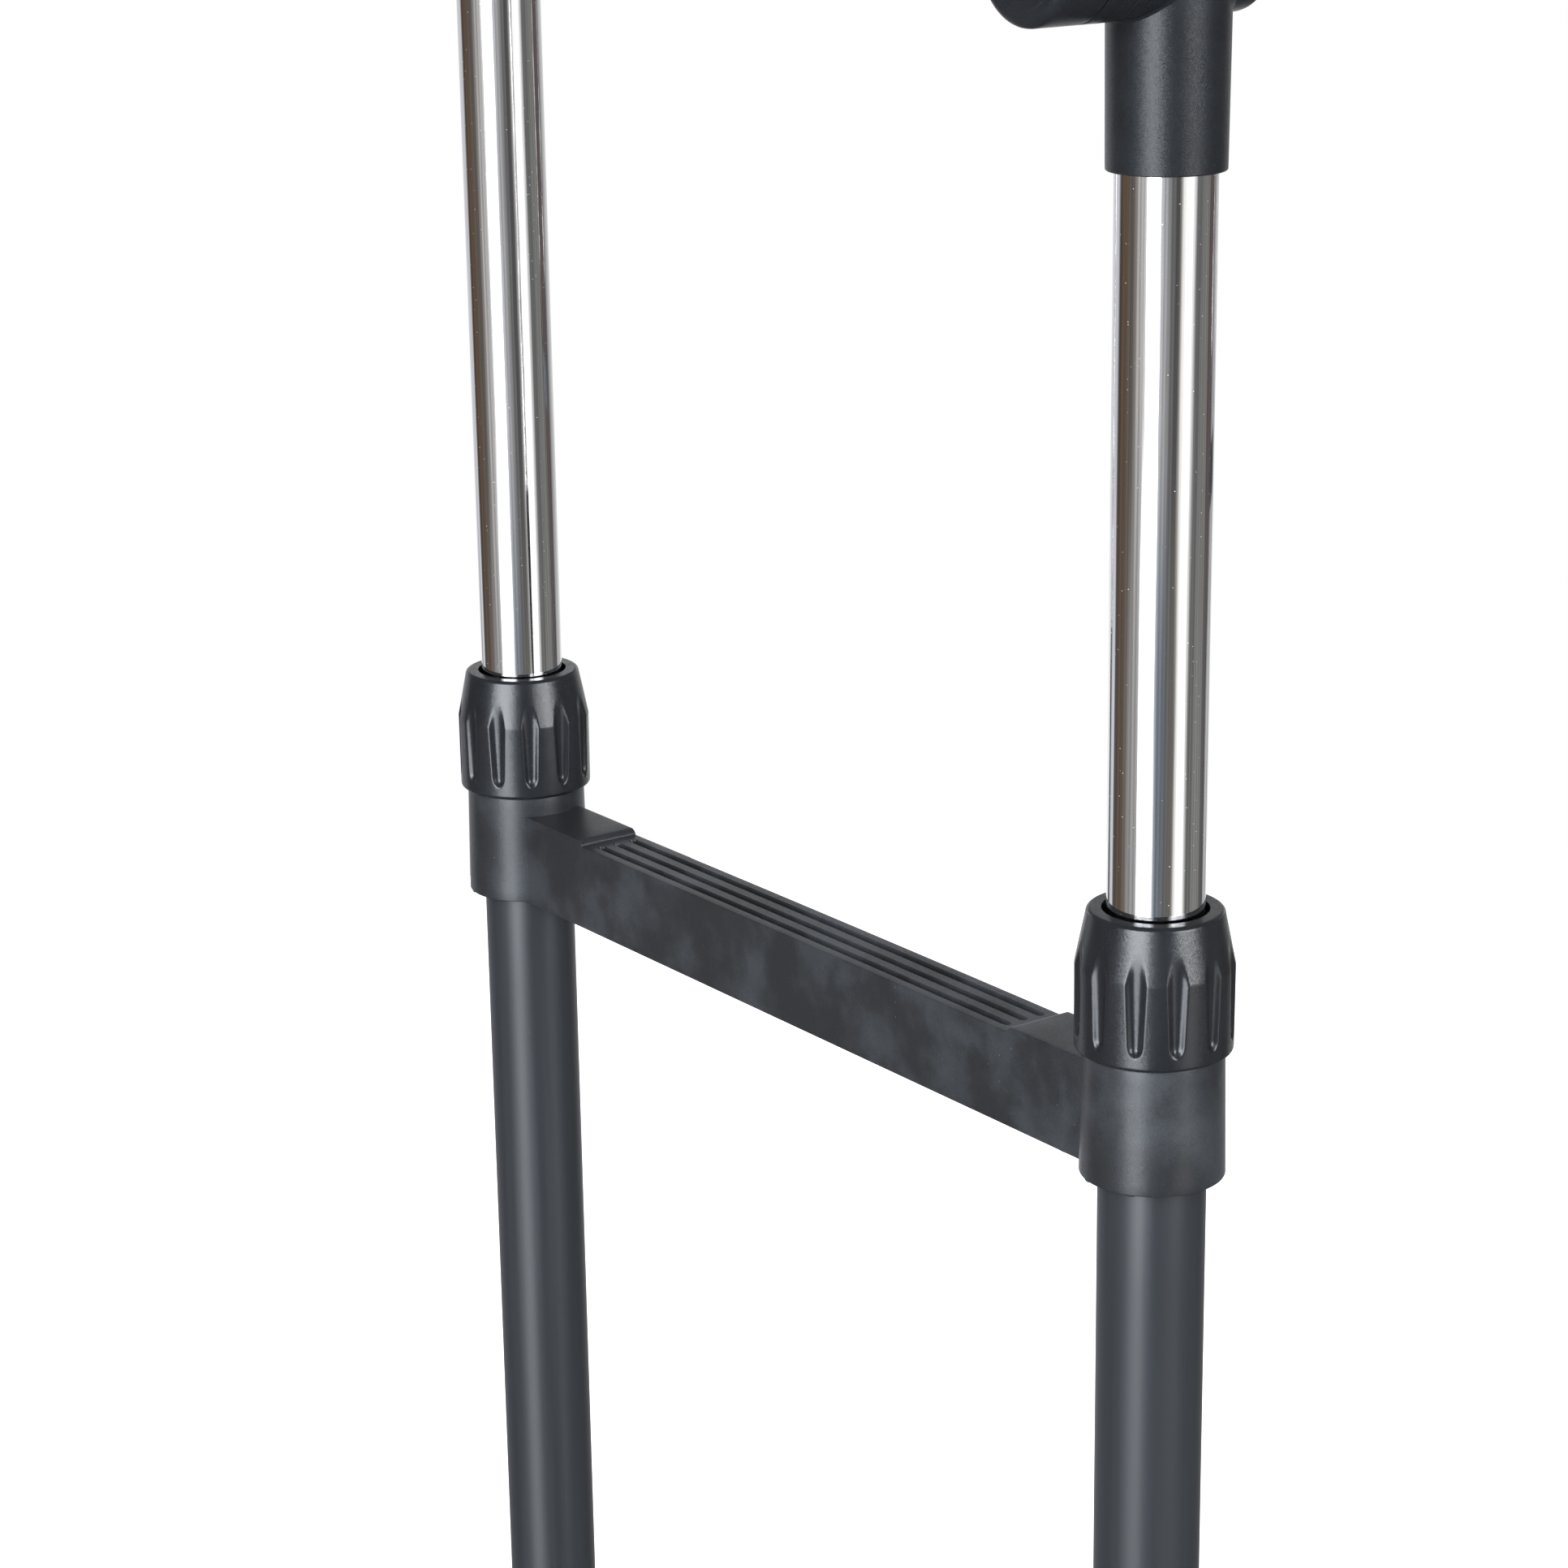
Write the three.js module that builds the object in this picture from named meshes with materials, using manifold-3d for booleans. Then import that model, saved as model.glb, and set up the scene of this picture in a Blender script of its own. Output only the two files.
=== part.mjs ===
// Double clothes rail on castors, in millimetres, +Z up, origin on the floor under its middle.
// X runs along the two rails. The lower, front rail stands at -Y and the higher, back rail at +Y.
// Each end has a foot on two castors, two telescopic posts and a moulded crossbar that joins them.
// A fluted collar on each post closes a split collet round the inner tube, which holds the rail
// at the height it was set to.

import * as THREE from 'three';
import { mergeVertices } from 'three/addons/utils/BufferGeometryUtils.js';
import Module from 'manifold-3d';

const wasm = await Module();
wasm.setup();

// Driving dimensions of the whole rack
const postSpacing = 300; // axis to axis, front post to back post
const endSpacing = 800; // axis to axis, left posts to right posts
const seamHeight = 880; // floor to the joint line under each lock collar
const frontTeeRise = 222; // joint line to the underside of a front tee, as the rail is set
const backTeeRise = 372; // joint line to the underside of a back tee, as the rail is set

// Clearances
const seatClearance = 0.3; // round and under a piece that is pushed home
const slideClearance = 0.5; // round the inner tube of a post
const threadClearance = 0.5; // between a collar and its threaded neck
const overrun = 1; // how far a cutter passes the face that it cuts

// Facets of the round pieces
const roundSides = 14;
const collarSides = 24;
const wheelSides = 12;
const smallSides = 12;
const cornerSteps = 1;

// Tubes
const upperTube = { radius: 12.5, wall: 1, length: 790 };
const lowerTube = { wall: 1 };
const rail = { radius: 14, wall: 1 };
const stretcher = { radius: 12.5, wall: 1, spacing: 160 };

// Crossbar: a sleeve and a threaded neck on each post, and the grooved bar between them
const sleeve = { wall: 3.9, height: 33.5, draft: 0.6, shoulder: 4, chamfer: 0.6 };
const neck = { wall: 3.1, height: 20 };
const bar = { width: 20, top: 7.3, bottom: 34, wall: 2.6, roof: 3, edgeRadius: 0.8 };
const pad = { reach: 45, rise: 1.5, endRadius: 1.4 };
const groove = { count: 3, width: 2.6, pitch: 5.7, depth: 1.2, endGap: 1.5 };
const rib = { count: 3, thickness: 2, recess: 4 };

// Collet and lock collar
const collet = { height: 13.2, wedge: 10.5, lip: 1.1, slot: 2.4 };
const collar = { wall: 3.8, kink: 23, cover: 4, land: 2, hole: 1.2, rim: 3.75, edgeRadius: 1.2, draft: 0.1 };
const flute = { count: 12, width: 4.6, depth: 1.4, bottom: 4.6 };

// Tee on top of a post, and the cap on its outer end
const tee = { wall: 1.85, draft: 0.35, axisRise: 52, innerReach: 19.5, outerReach: 29.5, edge: 1, web: 2 };
const barrel = { wall: 2 };
const cap = { head: 15.5, edgeRadius: 1.6, shank: 14, shankWall: 2, face: 2.5 };

// Bush on the lower end of an inner tube
const bush = { flange: 10, shank: 15, wall: 2 };

// Castor
const castor = { trail: 18, gap: 0.5, beyondPost: 42 }; // beyondPost: post axis to swivel axis
const wheel = { radius: 25, width: 18, edge: 3, tyre: 6, hub: 8, recess: 3 };
const fork = { width: 28, neck: 14, neckHeight: 8, clearance: 2.5, hood: 3, cheek: 9, plate: 5, socket: 10 };
const axle = { radius: 4 };
const stem = { radius: 5 };

// Foot
const foot = { overhang: 70, width: 34, height: 32, wall: 3, noseLength: 60, noseDrop: 12, edge: 2.5 };
const footSocket = { wall: 4, height: 54, draft: 0.5, floor: 4, chamfer: 1 };
const footArm = { wall: 2.4, reach: 46, depth: 40 };
const footBoss = { wall: 3.4, depth: 20 };

// Each collar was screwed home by hand, so its flutes stand at an angle of their own, in degrees.
const collarTurns = { left_front: 5.4, left_back: 3.6, right_front: 17, right_back: 24 };

const half = (size) => size / 2;

// Radii and heights that follow from the sizes above
const tubeBore = upperTube.radius + slideClearance;
const lowerRadius = tubeBore + lowerTube.wall;
const neckRadius = tubeBore + neck.wall;
const sleeveBore = lowerRadius + seatClearance;
const sleeveTopRadius = sleeveBore + sleeve.wall;
const sleeveBottomRadius = sleeveTopRadius + sleeve.draft;
const colletBore = upperTube.radius + seatClearance;
const colletLow = neck.height + seatClearance;
const colletHigh = colletLow + collet.height;
const wedgeStart = colletHigh - collet.wedge;
const collarBore = neckRadius + threadClearance;
const collarRadius = collarBore + collar.wall;
const collarHole = upperTube.radius + collar.hole;
const collarHeight = colletHigh + collar.cover;
const teeBore = upperTube.radius + seatClearance;
const teeFootRadius = teeBore + tee.wall;
const barrelBore = rail.radius + seatClearance;
const barrelRadius = barrelBore + barrel.wall;
const teeSeat = tee.axisRise - barrelBore - tee.web;
const wheelAxis = wheel.radius * Math.cos(Math.PI / wheelSides); // the wheel rests on a facet
const hoodReach = wheel.radius + fork.clearance + fork.hood;
const hoodTop = wheelAxis + hoodReach;
const forkTop = hoodTop + fork.neckHeight;
const footBottom = forkTop + castor.gap;
const footTop = footBottom + foot.height;
const footLength = postSpacing + 2 * foot.overhang;
const footSeat = footBottom + footSocket.floor;
const armHeight = footBottom + half(foot.height);
const armBore = stretcher.radius + seatClearance;
const stemBore = stem.radius + seatClearance;
const stemLow = forkTop - fork.socket;
const stemHigh = footBottom + footBoss.depth;
const axleBore = axle.radius + seatClearance;

// Finishes
const finish = (name, color, roughness, metalness) =>
  new THREE.MeshStandardMaterial({ name, color, roughness, metalness });
const chromeFinish = finish('chrome', 0xd8d9db, 0.06, 1);
const paintFinish = finish('tube_paint', 0x3b3e42, 0.42, 0.25);
const plasticFinish = finish('grey_plastic', 0x2f3134, 0.5, 0);
const nylonFinish = finish('nylon', 0x1b1c1e, 0.45, 0);
const treadFinish = finish('wheel_tread', 0x55585b, 0.7, 0);
const steelFinish = finish('zinc_steel', 0xa9abad, 0.35, 1);

// A closed geometry as a solid that can be joined and cut
function solid(geometry) {
  const bare = new THREE.BufferGeometry();
  bare.setAttribute('position', geometry.getAttribute('position'));
  bare.setIndex(geometry.index);
  const welded = mergeVertices(bare);
  return new wasm.Manifold(new wasm.Mesh({
    numProp: 3,
    vertProperties: welded.attributes.position.array,
    triVerts: new Uint32Array(welded.index.array),
  }));
}

// A joined or cut solid as a geometry again
function geometryOf(made) {
  const mesh = made.getMesh();
  const geometry = new THREE.BufferGeometry();
  geometry.setAttribute('position', new THREE.BufferAttribute(mesh.vertProperties, 3));
  geometry.setIndex(new THREE.BufferAttribute(mesh.triVerts, 1));
  geometry.computeVertexNormals();
  return geometry;
}

// A profile of [radius, height] points turned about Z, up its outside and down its inside
function turned(profile, sides = roundSides) {
  const points = profile.map(([radius, height]) => new THREE.Vector2(radius, height));
  return new THREE.LatheGeometry(points, sides).rotateX(half(Math.PI));
}

// A tube and a solid bar about Z
const tube = (radius, wall, low, high) => turned([
  [radius - wall, low],
  [radius, low],
  [radius, high],
  [radius - wall, high],
  [radius - wall, low],
]);
const rod = (radius, low, high, sides = roundSides) =>
  turned([[0, low], [radius, low], [radius, high], [0, high]], sides);

// Geometry made about Z, turned to lie along +X or along +Y
const alongX = (geometry) => geometry.rotateY(half(Math.PI));
const alongY = (geometry) => geometry.rotateX(-half(Math.PI));

// Points of a rounded corner about a centre, from one angle to another
function rounded(centre, radius, from, to) {
  const points = [];
  for (let step = 0; step <= cornerSteps; step++) {
    const angle = from + ((to - from) * step) / cornerSteps;
    points.push([centre[0] + radius * Math.cos(angle), centre[1] + radius * Math.sin(angle)]);
  }
  return points;
}

function outlineOf(points) {
  return new THREE.Shape(points.map(([x, y]) => new THREE.Vector2(x, y)));
}

// An outline drawn in Y and Z, made solid along X about the middle, with its edges sloped off
function plate(outline, thickness, slope = 0, curveSegments = cornerSteps) {
  const geometry = new THREE.ExtrudeGeometry(outline, {
    depth: thickness - 2 * slope,
    bevelEnabled: slope > 0,
    bevelThickness: slope,
    bevelSize: slope,
    bevelOffset: -slope,
    bevelSegments: 1,
    curveSegments,
  });
  geometry.translate(0, 0, slope - half(thickness));
  const across = new THREE.Vector3(0, 1, 0);
  const up = new THREE.Vector3(0, 0, 1);
  const through = new THREE.Vector3(1, 0, 0);
  return geometry.applyMatrix4(new THREE.Matrix4().makeBasis(across, up, through));
}

// A box from its low corner to its high corner
function block(low, high) {
  const size = high.map((value, i) => value - low[i]);
  const centre = high.map((value, i) => half(value + low[i]));
  return new THREE.BoxGeometry(...size).translate(...centre);
}

// Crossbar, about its middle, with the joint line of the collars at zero height
function crossbarSleeve() {
  return solid(turned([
    [0, -sleeve.height],
    [sleeveBottomRadius - sleeve.chamfer, -sleeve.height],
    [sleeveBottomRadius, -sleeve.height + sleeve.chamfer],
    [sleeveTopRadius, 0],
    [neckRadius, 0],
    [neckRadius, neck.height],
    [0, neck.height],
  ]));
}

// The lower tube stops against the shoulder, and the inner tube runs on through the neck.
function crossbarBore() {
  return solid(turned([
    [0, -sleeve.height - overrun],
    [sleeveBore, -sleeve.height - overrun],
    [sleeveBore, -sleeve.shoulder],
    [tubeBore, -sleeve.shoulder],
    [tubeBore, neck.height + overrun],
    [0, neck.height + overrun],
  ]));
}

// The bar is a channel that is open underneath.
function barChannel() {
  const side = half(bar.width);
  const inside = side - bar.wall;
  const corner = bar.edgeRadius;
  const section = outlineOf([
    [-side, -bar.bottom],
    [-inside, -bar.bottom],
    [-inside, -bar.top - bar.roof],
    [inside, -bar.top - bar.roof],
    [inside, -bar.bottom],
    [side, -bar.bottom],
    ...rounded([side - corner, -bar.top - corner], corner, 0, half(Math.PI)),
    ...rounded([-side + corner, -bar.top - corner], corner, half(Math.PI), Math.PI),
  ]);
  const geometry = new THREE.ExtrudeGeometry(section, { depth: postSpacing, bevelEnabled: false });
  return solid(geometry.rotateX(half(Math.PI)).translate(0, half(postSpacing), 0));
}

// A raised pad runs from each sleeve to a rounded end, and the grooves start beyond it.
function crossbarPad() {
  const end = half(postSpacing) - pad.reach;
  const root = -bar.top - half(bar.roof);
  const top = -bar.top + pad.rise;
  return solid(plate(outlineOf([
    [end, root],
    [half(postSpacing), root],
    [half(postSpacing), top],
    ...rounded([end + pad.endRadius, top - pad.endRadius], pad.endRadius, half(Math.PI), Math.PI),
  ]), bar.width));
}

function grooveCutter(x) {
  const radius = half(groove.width);
  const reach = half(postSpacing) - pad.reach - groove.endGap - radius;
  const slot = new THREE.Shape();
  slot.absarc(x, reach, radius, 0, Math.PI);
  slot.absarc(x, -reach, radius, Math.PI, 2 * Math.PI);
  const geometry = new THREE.ExtrudeGeometry(slot, {
    depth: groove.depth + overrun,
    bevelEnabled: false,
    curveSegments: 4,
  });
  return solid(geometry.translate(0, 0, -bar.top - groove.depth));
}

function channelRib(y) {
  const reach = half(bar.width) - half(bar.wall);
  return solid(block(
    [-reach, y - half(rib.thickness), -bar.bottom + rib.recess],
    [reach, y + half(rib.thickness), -bar.top - half(bar.roof)],
  ));
}

function crossbarGeometry() {
  let body = barChannel().add(crossbarPad()).add(crossbarPad().rotate([0, 0, 180]));
  const ribPitch = (postSpacing - 2 * sleeveTopRadius) / (rib.count + 1);
  for (let i = 0; i < rib.count; i++) {
    body = body.add(channelRib((i - half(rib.count - 1)) * ribPitch));
  }
  for (const y of [-half(postSpacing), half(postSpacing)]) {
    body = body.add(crossbarSleeve().translate([0, y, 0]));
    body = body.subtract(crossbarBore().translate([0, y, 0]));
  }
  for (let i = 0; i < groove.count; i++) {
    body = body.subtract(grooveCutter((i - half(groove.count - 1)) * groove.pitch));
  }
  return geometryOf(body);
}

// Lock collar, standing on the joint line. Its bore narrows over the wedge of the collet.
function collarShell() {
  const edge = collar.edgeRadius;
  const rimRadius = collarHole + collar.rim;
  return solid(turned([
    [collarBore, seatClearance],
    [collarRadius - collar.draft, seatClearance],
    [collarRadius, collar.kink],
    ...rounded([rimRadius - edge, collarHeight - edge], edge, 0, half(Math.PI)),
    [collarHole, collarHeight],
    [collarHole, collarHeight - collar.land],
    [collarBore, wedgeStart + seatClearance],
    [collarBore, seatClearance],
  ], collarSides));
}

// A flute has a flat floor and a round foot, and it runs up and out through the collar's cone.
function fluteCutter() {
  const side = half(flute.width);
  const outline = new THREE.Shape();
  outline.moveTo(side, collarHeight + overrun);
  outline.lineTo(-side, collarHeight + overrun);
  outline.absarc(0, flute.bottom + side, side, Math.PI, 2 * Math.PI);
  outline.closePath();
  const thickness = flute.depth + overrun;
  const floor = collarRadius - flute.depth;
  return solid(plate(outline, thickness, 0, 2)).translate([floor + half(thickness), 0, 0]);
}

// The flutes fall on the flats between the shell's corners.
function collarGeometry() {
  let body = collarShell().rotate([0, 0, 180 / collarSides]);
  const step = 360 / flute.count;
  for (let i = 0; i < flute.count; i++) body = body.subtract(fluteCutter().rotate([0, 0, i * step]));
  return geometryOf(body);
}

// A split ring between neck and collar. The collar's cone closes its wedge on the inner tube.
function colletGeometry() {
  const ring = solid(turned([
    [colletBore, colletLow],
    [neckRadius, colletLow],
    [neckRadius, wedgeStart],
    [colletBore + collet.lip, colletHigh],
    [colletBore, colletHigh],
    [colletBore, colletLow],
  ]));
  const side = half(collet.slot);
  const slot = solid(block([0, -side, colletLow - overrun], [collarBore, side, colletHigh + overrun]));
  return geometryOf(ring.subtract(slot));
}

// Tee, about its post's axis, with its underside at zero height and its outer end at -X
function teeGeometry() {
  const stand = solid(turned([
    [0, 0],
    [teeFootRadius - half(tee.edge), 0],
    [teeFootRadius, half(tee.edge)],
    [teeFootRadius + tee.draft, tee.axisRise],
    [0, tee.axisRise],
  ]));
  const across = solid(alongX(turned([
    [0, -tee.innerReach],
    [barrelRadius - tee.edge, -tee.innerReach],
    [barrelRadius, -tee.innerReach + tee.edge],
    [barrelRadius, tee.outerReach],
    [0, tee.outerReach],
  ])).rotateZ(Math.PI).translate(0, 0, tee.axisRise));
  const reach = tee.outerReach + overrun;
  const railBore = solid(alongX(rod(barrelBore, -reach, reach)).translate(0, 0, tee.axisRise));
  const tubeSocket = solid(rod(teeBore, -overrun, teeSeat));
  return geometryOf(stand.add(across).subtract(railBore).subtract(tubeSocket));
}

// The cap's shank plugs the rail, and its head carries on the tee's barrel out to -X.
function capGeometry() {
  const shankRadius = rail.radius - rail.wall - seatClearance;
  const coreRadius = shankRadius - cap.shankWall;
  const corner = [barrelRadius - cap.edgeRadius, cap.head - cap.edgeRadius];
  const profile = [
    [coreRadius, -cap.shank],
    [shankRadius, -cap.shank],
    [shankRadius, seatClearance],
    [barrelRadius, seatClearance],
    ...rounded(corner, cap.edgeRadius, 0, half(Math.PI)),
    [0, cap.head],
    [0, cap.head - cap.face],
    [coreRadius, cap.head - cap.face],
    [coreRadius, -cap.shank],
  ];
  return alongX(turned(profile)).rotateZ(Math.PI);
}

// The bush plugs the inner tube's lower end, and its flange slides in the lower tube.
function bushGeometry() {
  const flangeRadius = tubeBore - seatClearance;
  const shankRadius = upperTube.radius - upperTube.wall - seatClearance;
  const core = shankRadius - bush.wall;
  return turned([
    [core, -bush.flange],
    [flangeRadius, -bush.flange],
    [flangeRadius, -seatClearance],
    [shankRadius, -seatClearance],
    [shankRadius, bush.shank],
    [core, bush.shank],
    [core, -bush.flange],
  ]);
}

// Foot outline in Y and Z, with a sloping nose over each castor
function footOutline(inset, low) {
  const end = half(footLength) - inset;
  const top = footTop - inset;
  const shoulder = end - foot.noseLength;
  const noseTop = top - foot.noseDrop;
  const shape = new THREE.Shape();
  shape.moveTo(-end, low);
  shape.lineTo(end, low);
  shape.lineTo(end, noseTop - half(foot.noseDrop));
  shape.quadraticCurveTo(end, noseTop, end - half(foot.noseDrop), noseTop);
  shape.lineTo(shoulder, top);
  shape.lineTo(-shoulder, top);
  shape.lineTo(-end + half(foot.noseDrop), noseTop);
  shape.quadraticCurveTo(-end, noseTop, -end, noseTop - half(foot.noseDrop));
  shape.closePath();
  return shape;
}

function footRib(y) {
  const reach = half(foot.width) - half(foot.wall);
  return solid(block(
    [-reach, y - half(foot.wall), footBottom + foot.wall],
    [reach, y + half(foot.wall), footTop - half(foot.wall)],
  ));
}

function postSocket() {
  const top = footTop + footSocket.height;
  const radius = lowerRadius + seatClearance + footSocket.wall;
  return solid(turned([
    [0, footBottom],
    [radius + footSocket.draft, footBottom],
    [radius, top - footSocket.chamfer],
    [radius - footSocket.chamfer, top],
    [0, top],
  ]));
}

// Foot, about its middle, with the floor at zero height and its two arms to +X
function footGeometry() {
  const shell = solid(plate(footOutline(0, footBottom), foot.width, foot.edge));
  const inside = footOutline(foot.wall, footBottom - overrun);
  let body = shell.subtract(solid(plate(inside, foot.width - 2 * foot.wall)));
  const armRadius = armBore + footArm.wall;
  const ribReach = half(stretcher.spacing) + armRadius + foot.wall;
  for (const y of [-ribReach, 0, ribReach]) body = body.add(footRib(y));
  const socketTop = footTop + footSocket.height;
  for (const side of [-1, 1]) {
    const armY = side * half(stretcher.spacing);
    const arm = solid(alongX(rod(armRadius, foot.wall - half(foot.width), footArm.reach)));
    const armHole = solid(alongX(rod(armBore, footArm.reach - footArm.depth, footArm.reach + overrun)));
    const postY = side * half(postSpacing);
    const postHole = solid(rod(sleeveBore, footSeat, socketTop + overrun));
    const bossY = side * (half(postSpacing) + castor.beyondPost);
    const bossTop = stemHigh + seatClearance + foot.wall;
    const boss = solid(rod(stemBore + footBoss.wall, footBottom, bossTop, smallSides));
    const stemHole = solid(rod(stemBore, footBottom - overrun, stemHigh + seatClearance, smallSides));
    body = body.add(arm.translate([0, armY, armHeight]))
      .add(postSocket().translate([0, postY, 0]))
      .add(boss.translate([0, bossY, 0]))
      .subtract(armHole.translate([0, armY, armHeight]))
      .subtract(postHole.translate([0, postY, 0]))
      .subtract(stemHole.translate([0, bossY, 0]));
  }
  return geometryOf(body);
}

// The fork seen from above: round about its swivel axis, and straight from there over the wheel
function forkPlan() {
  const side = half(fork.width);
  const end = -castor.trail - hoodReach - overrun;
  const outline = new THREE.Shape();
  outline.absarc(0, 0, side, -half(Math.PI), half(Math.PI));
  outline.lineTo(end, side);
  outline.lineTo(end, -side);
  outline.closePath();
  return solid(new THREE.ExtrudeGeometry(outline, {
    depth: forkTop + overrun,
    bevelEnabled: false,
    curveSegments: half(roundSides),
  }));
}

// Castor fork, about its swivel axis, trailing to -X
function forkGeometry() {
  const outline = new THREE.Shape();
  outline.moveTo(castor.trail - fork.cheek, wheelAxis);
  outline.absarc(castor.trail, wheelAxis, fork.cheek, Math.PI, 2 * Math.PI);
  outline.absarc(castor.trail, wheelAxis, hoodReach, Math.asin(fork.cheek / hoodReach), half(Math.PI));
  outline.lineTo(castor.trail, hoodTop);
  outline.lineTo(-fork.neck, forkTop - fork.plate);
  outline.closePath();
  const cheeks = solid(new THREE.ExtrudeGeometry(outline, {
    depth: fork.width,
    bevelEnabled: false,
    curveSegments: 5,
  }).translate(0, 0, -half(fork.width)).rotateX(half(Math.PI)).rotateZ(Math.PI));
  const swivelPlate = solid(rod(fork.neck, hoodTop - fork.plate, forkTop));
  const wellSide = half(wheel.width) + overrun;
  const well = solid(alongY(rod(wheel.radius + fork.clearance, -wellSide, wellSide)));
  const axleHole = solid(alongY(rod(axleBore, -fork.width, fork.width, smallSides)));
  const stemHole = solid(rod(stemBore, stemLow - seatClearance, forkTop + overrun, smallSides));
  const wheelPlace = [-castor.trail, 0, wheelAxis];
  return geometryOf(cheeks.intersect(forkPlan()).add(swivelPlate)
    .subtract(well.translate(wheelPlace))
    .subtract(axleHole.translate(wheelPlace))
    .subtract(stemHole));
}

// Castor wheel about Y, turned so that it stands on one of its facets
function wheelGeometry() {
  const side = half(wheel.width);
  const rim = wheel.radius - wheel.tyre;
  const profile = [
    [axleBore, -side],
    [wheel.hub, -side],
    [wheel.hub, -side + wheel.recess],
    [rim, -side + wheel.recess],
    [rim, -side],
    [wheel.radius - wheel.edge, -side],
    [wheel.radius, -side + wheel.edge],
    [wheel.radius, side - wheel.edge],
    [wheel.radius - wheel.edge, side],
    [rim, side],
    [rim, side - wheel.recess],
    [wheel.hub, side - wheel.recess],
    [wheel.hub, side],
    [axleBore, side],
    [axleBore, -side],
  ];
  const halfFacet = Math.PI / wheelSides;
  return alongY(turned(profile, wheelSides)).rotateY(halfFacet);
}

const rack = new THREE.Group();

function place(parent, name, geometry, material, x = 0, y = 0, z = 0) {
  const mesh = new THREE.Mesh(geometry, material);
  mesh.name = name;
  mesh.position.set(x, y, z);
  parent.add(mesh);
  return mesh;
}

function addCastor(parent, name, y) {
  const unit = new THREE.Group();
  unit.position.set(0, y, 0);
  parent.add(unit);
  place(unit, `${name}_castor_fork`, forkGeometry(), nylonFinish);
  place(unit, `${name}_castor_wheel`, wheelGeometry(), treadFinish, -castor.trail, 0, wheelAxis);
  const pin = alongY(rod(axle.radius, -half(fork.width), half(fork.width), smallSides));
  place(unit, `${name}_castor_axle`, pin, steelFinish, -castor.trail, 0, wheelAxis);
  place(unit, `${name}_castor_stem`, rod(stem.radius, stemLow, stemHigh, smallSides), steelFinish);
}

function addPost(parent, name, y) {
  const low = footSeat + seatClearance;
  const high = seamHeight - sleeve.shoulder - seatClearance;
  const outer = tube(lowerRadius, lowerTube.wall, low, high);
  place(parent, `${name}_lower_tube`, outer, paintFinish, 0, y, 0);
  place(parent, `${name}_collet`, colletGeometry(), nylonFinish, 0, y, seamHeight);
}

// One end of the rack: the left one as modelled, the right one turned half round
function addEnd(side, turn) {
  const end = new THREE.Group();
  end.position.x = side === 'left' ? -half(endSpacing) : half(endSpacing);
  end.rotation.z = turn;
  rack.add(end);
  place(end, `${side}_foot`, footGeometry(), plasticFinish);
  place(end, `${side}_crossbar`, crossbarGeometry(), plasticFinish, 0, 0, seamHeight);
  for (const [depth, y] of [['front', -1], ['back', 1]]) {
    const name = `${side}_${depth}`;
    const across = turn ? -y : y;
    addPost(end, name, across * half(postSpacing));
    addCastor(end, name, across * (half(postSpacing) + castor.beyondPost));
    const fluted = place(rack, `${name}_lock_collar`, collarGeometry(), plasticFinish);
    fluted.position.set(end.position.x, y * half(postSpacing), seamHeight);
    fluted.rotation.z = THREE.MathUtils.degToRad(collarTurns[name]);
  }
}

// One rail with its two inner tubes, which rise and fall together
function addRail(depth, y, teeRise) {
  const carriage = new THREE.Group();
  carriage.position.set(0, y * half(postSpacing), seamHeight + teeRise);
  rack.add(carriage);
  const railEnd = half(endSpacing) + tee.outerReach;
  const pipe = alongX(tube(rail.radius, rail.wall, -railEnd, railEnd));
  place(carriage, `${depth}_rail`, pipe, chromeFinish, 0, 0, tee.axisRise);
  for (const [side, x] of [['left', -1], ['right', 1]]) {
    const name = `${side}_${depth}`;
    const post = new THREE.Group();
    post.position.x = x * half(endSpacing);
    post.rotation.z = x < 0 ? 0 : Math.PI;
    carriage.add(post);
    place(post, `${name}_tee`, teeGeometry(), plasticFinish);
    place(post, `${name}_rail_cap`, capGeometry(), plasticFinish, -tee.outerReach, 0, tee.axisRise);
    const tubeTop = teeSeat - seatClearance;
    const tubeLow = tubeTop - upperTube.length;
    const inner = tube(upperTube.radius, upperTube.wall, tubeLow, tubeTop);
    place(post, `${name}_upper_tube`, inner, chromeFinish);
    place(post, `${name}_guide_bush`, bushGeometry(), nylonFinish, 0, 0, tubeLow);
  }
}

addEnd('left', 0);
addEnd('right', Math.PI);
addRail('front', -1, frontTeeRise);
addRail('back', 1, backTeeRise);

// Two stretchers join the feet.
const stretcherEnd = half(endSpacing) - footArm.reach + footArm.depth - seatClearance;
for (const [depth, y] of [['front', -1], ['back', 1]]) {
  const pipe = alongX(tube(stretcher.radius, stretcher.wall, -stretcherEnd, stretcherEnd));
  place(rack, `${depth}_stretcher`, pipe, paintFinish, 0, y * half(stretcher.spacing), armHeight);
}

export default rack;
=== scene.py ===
import math

import bpy
import numpy as np
from mathutils import Matrix, Vector


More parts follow.
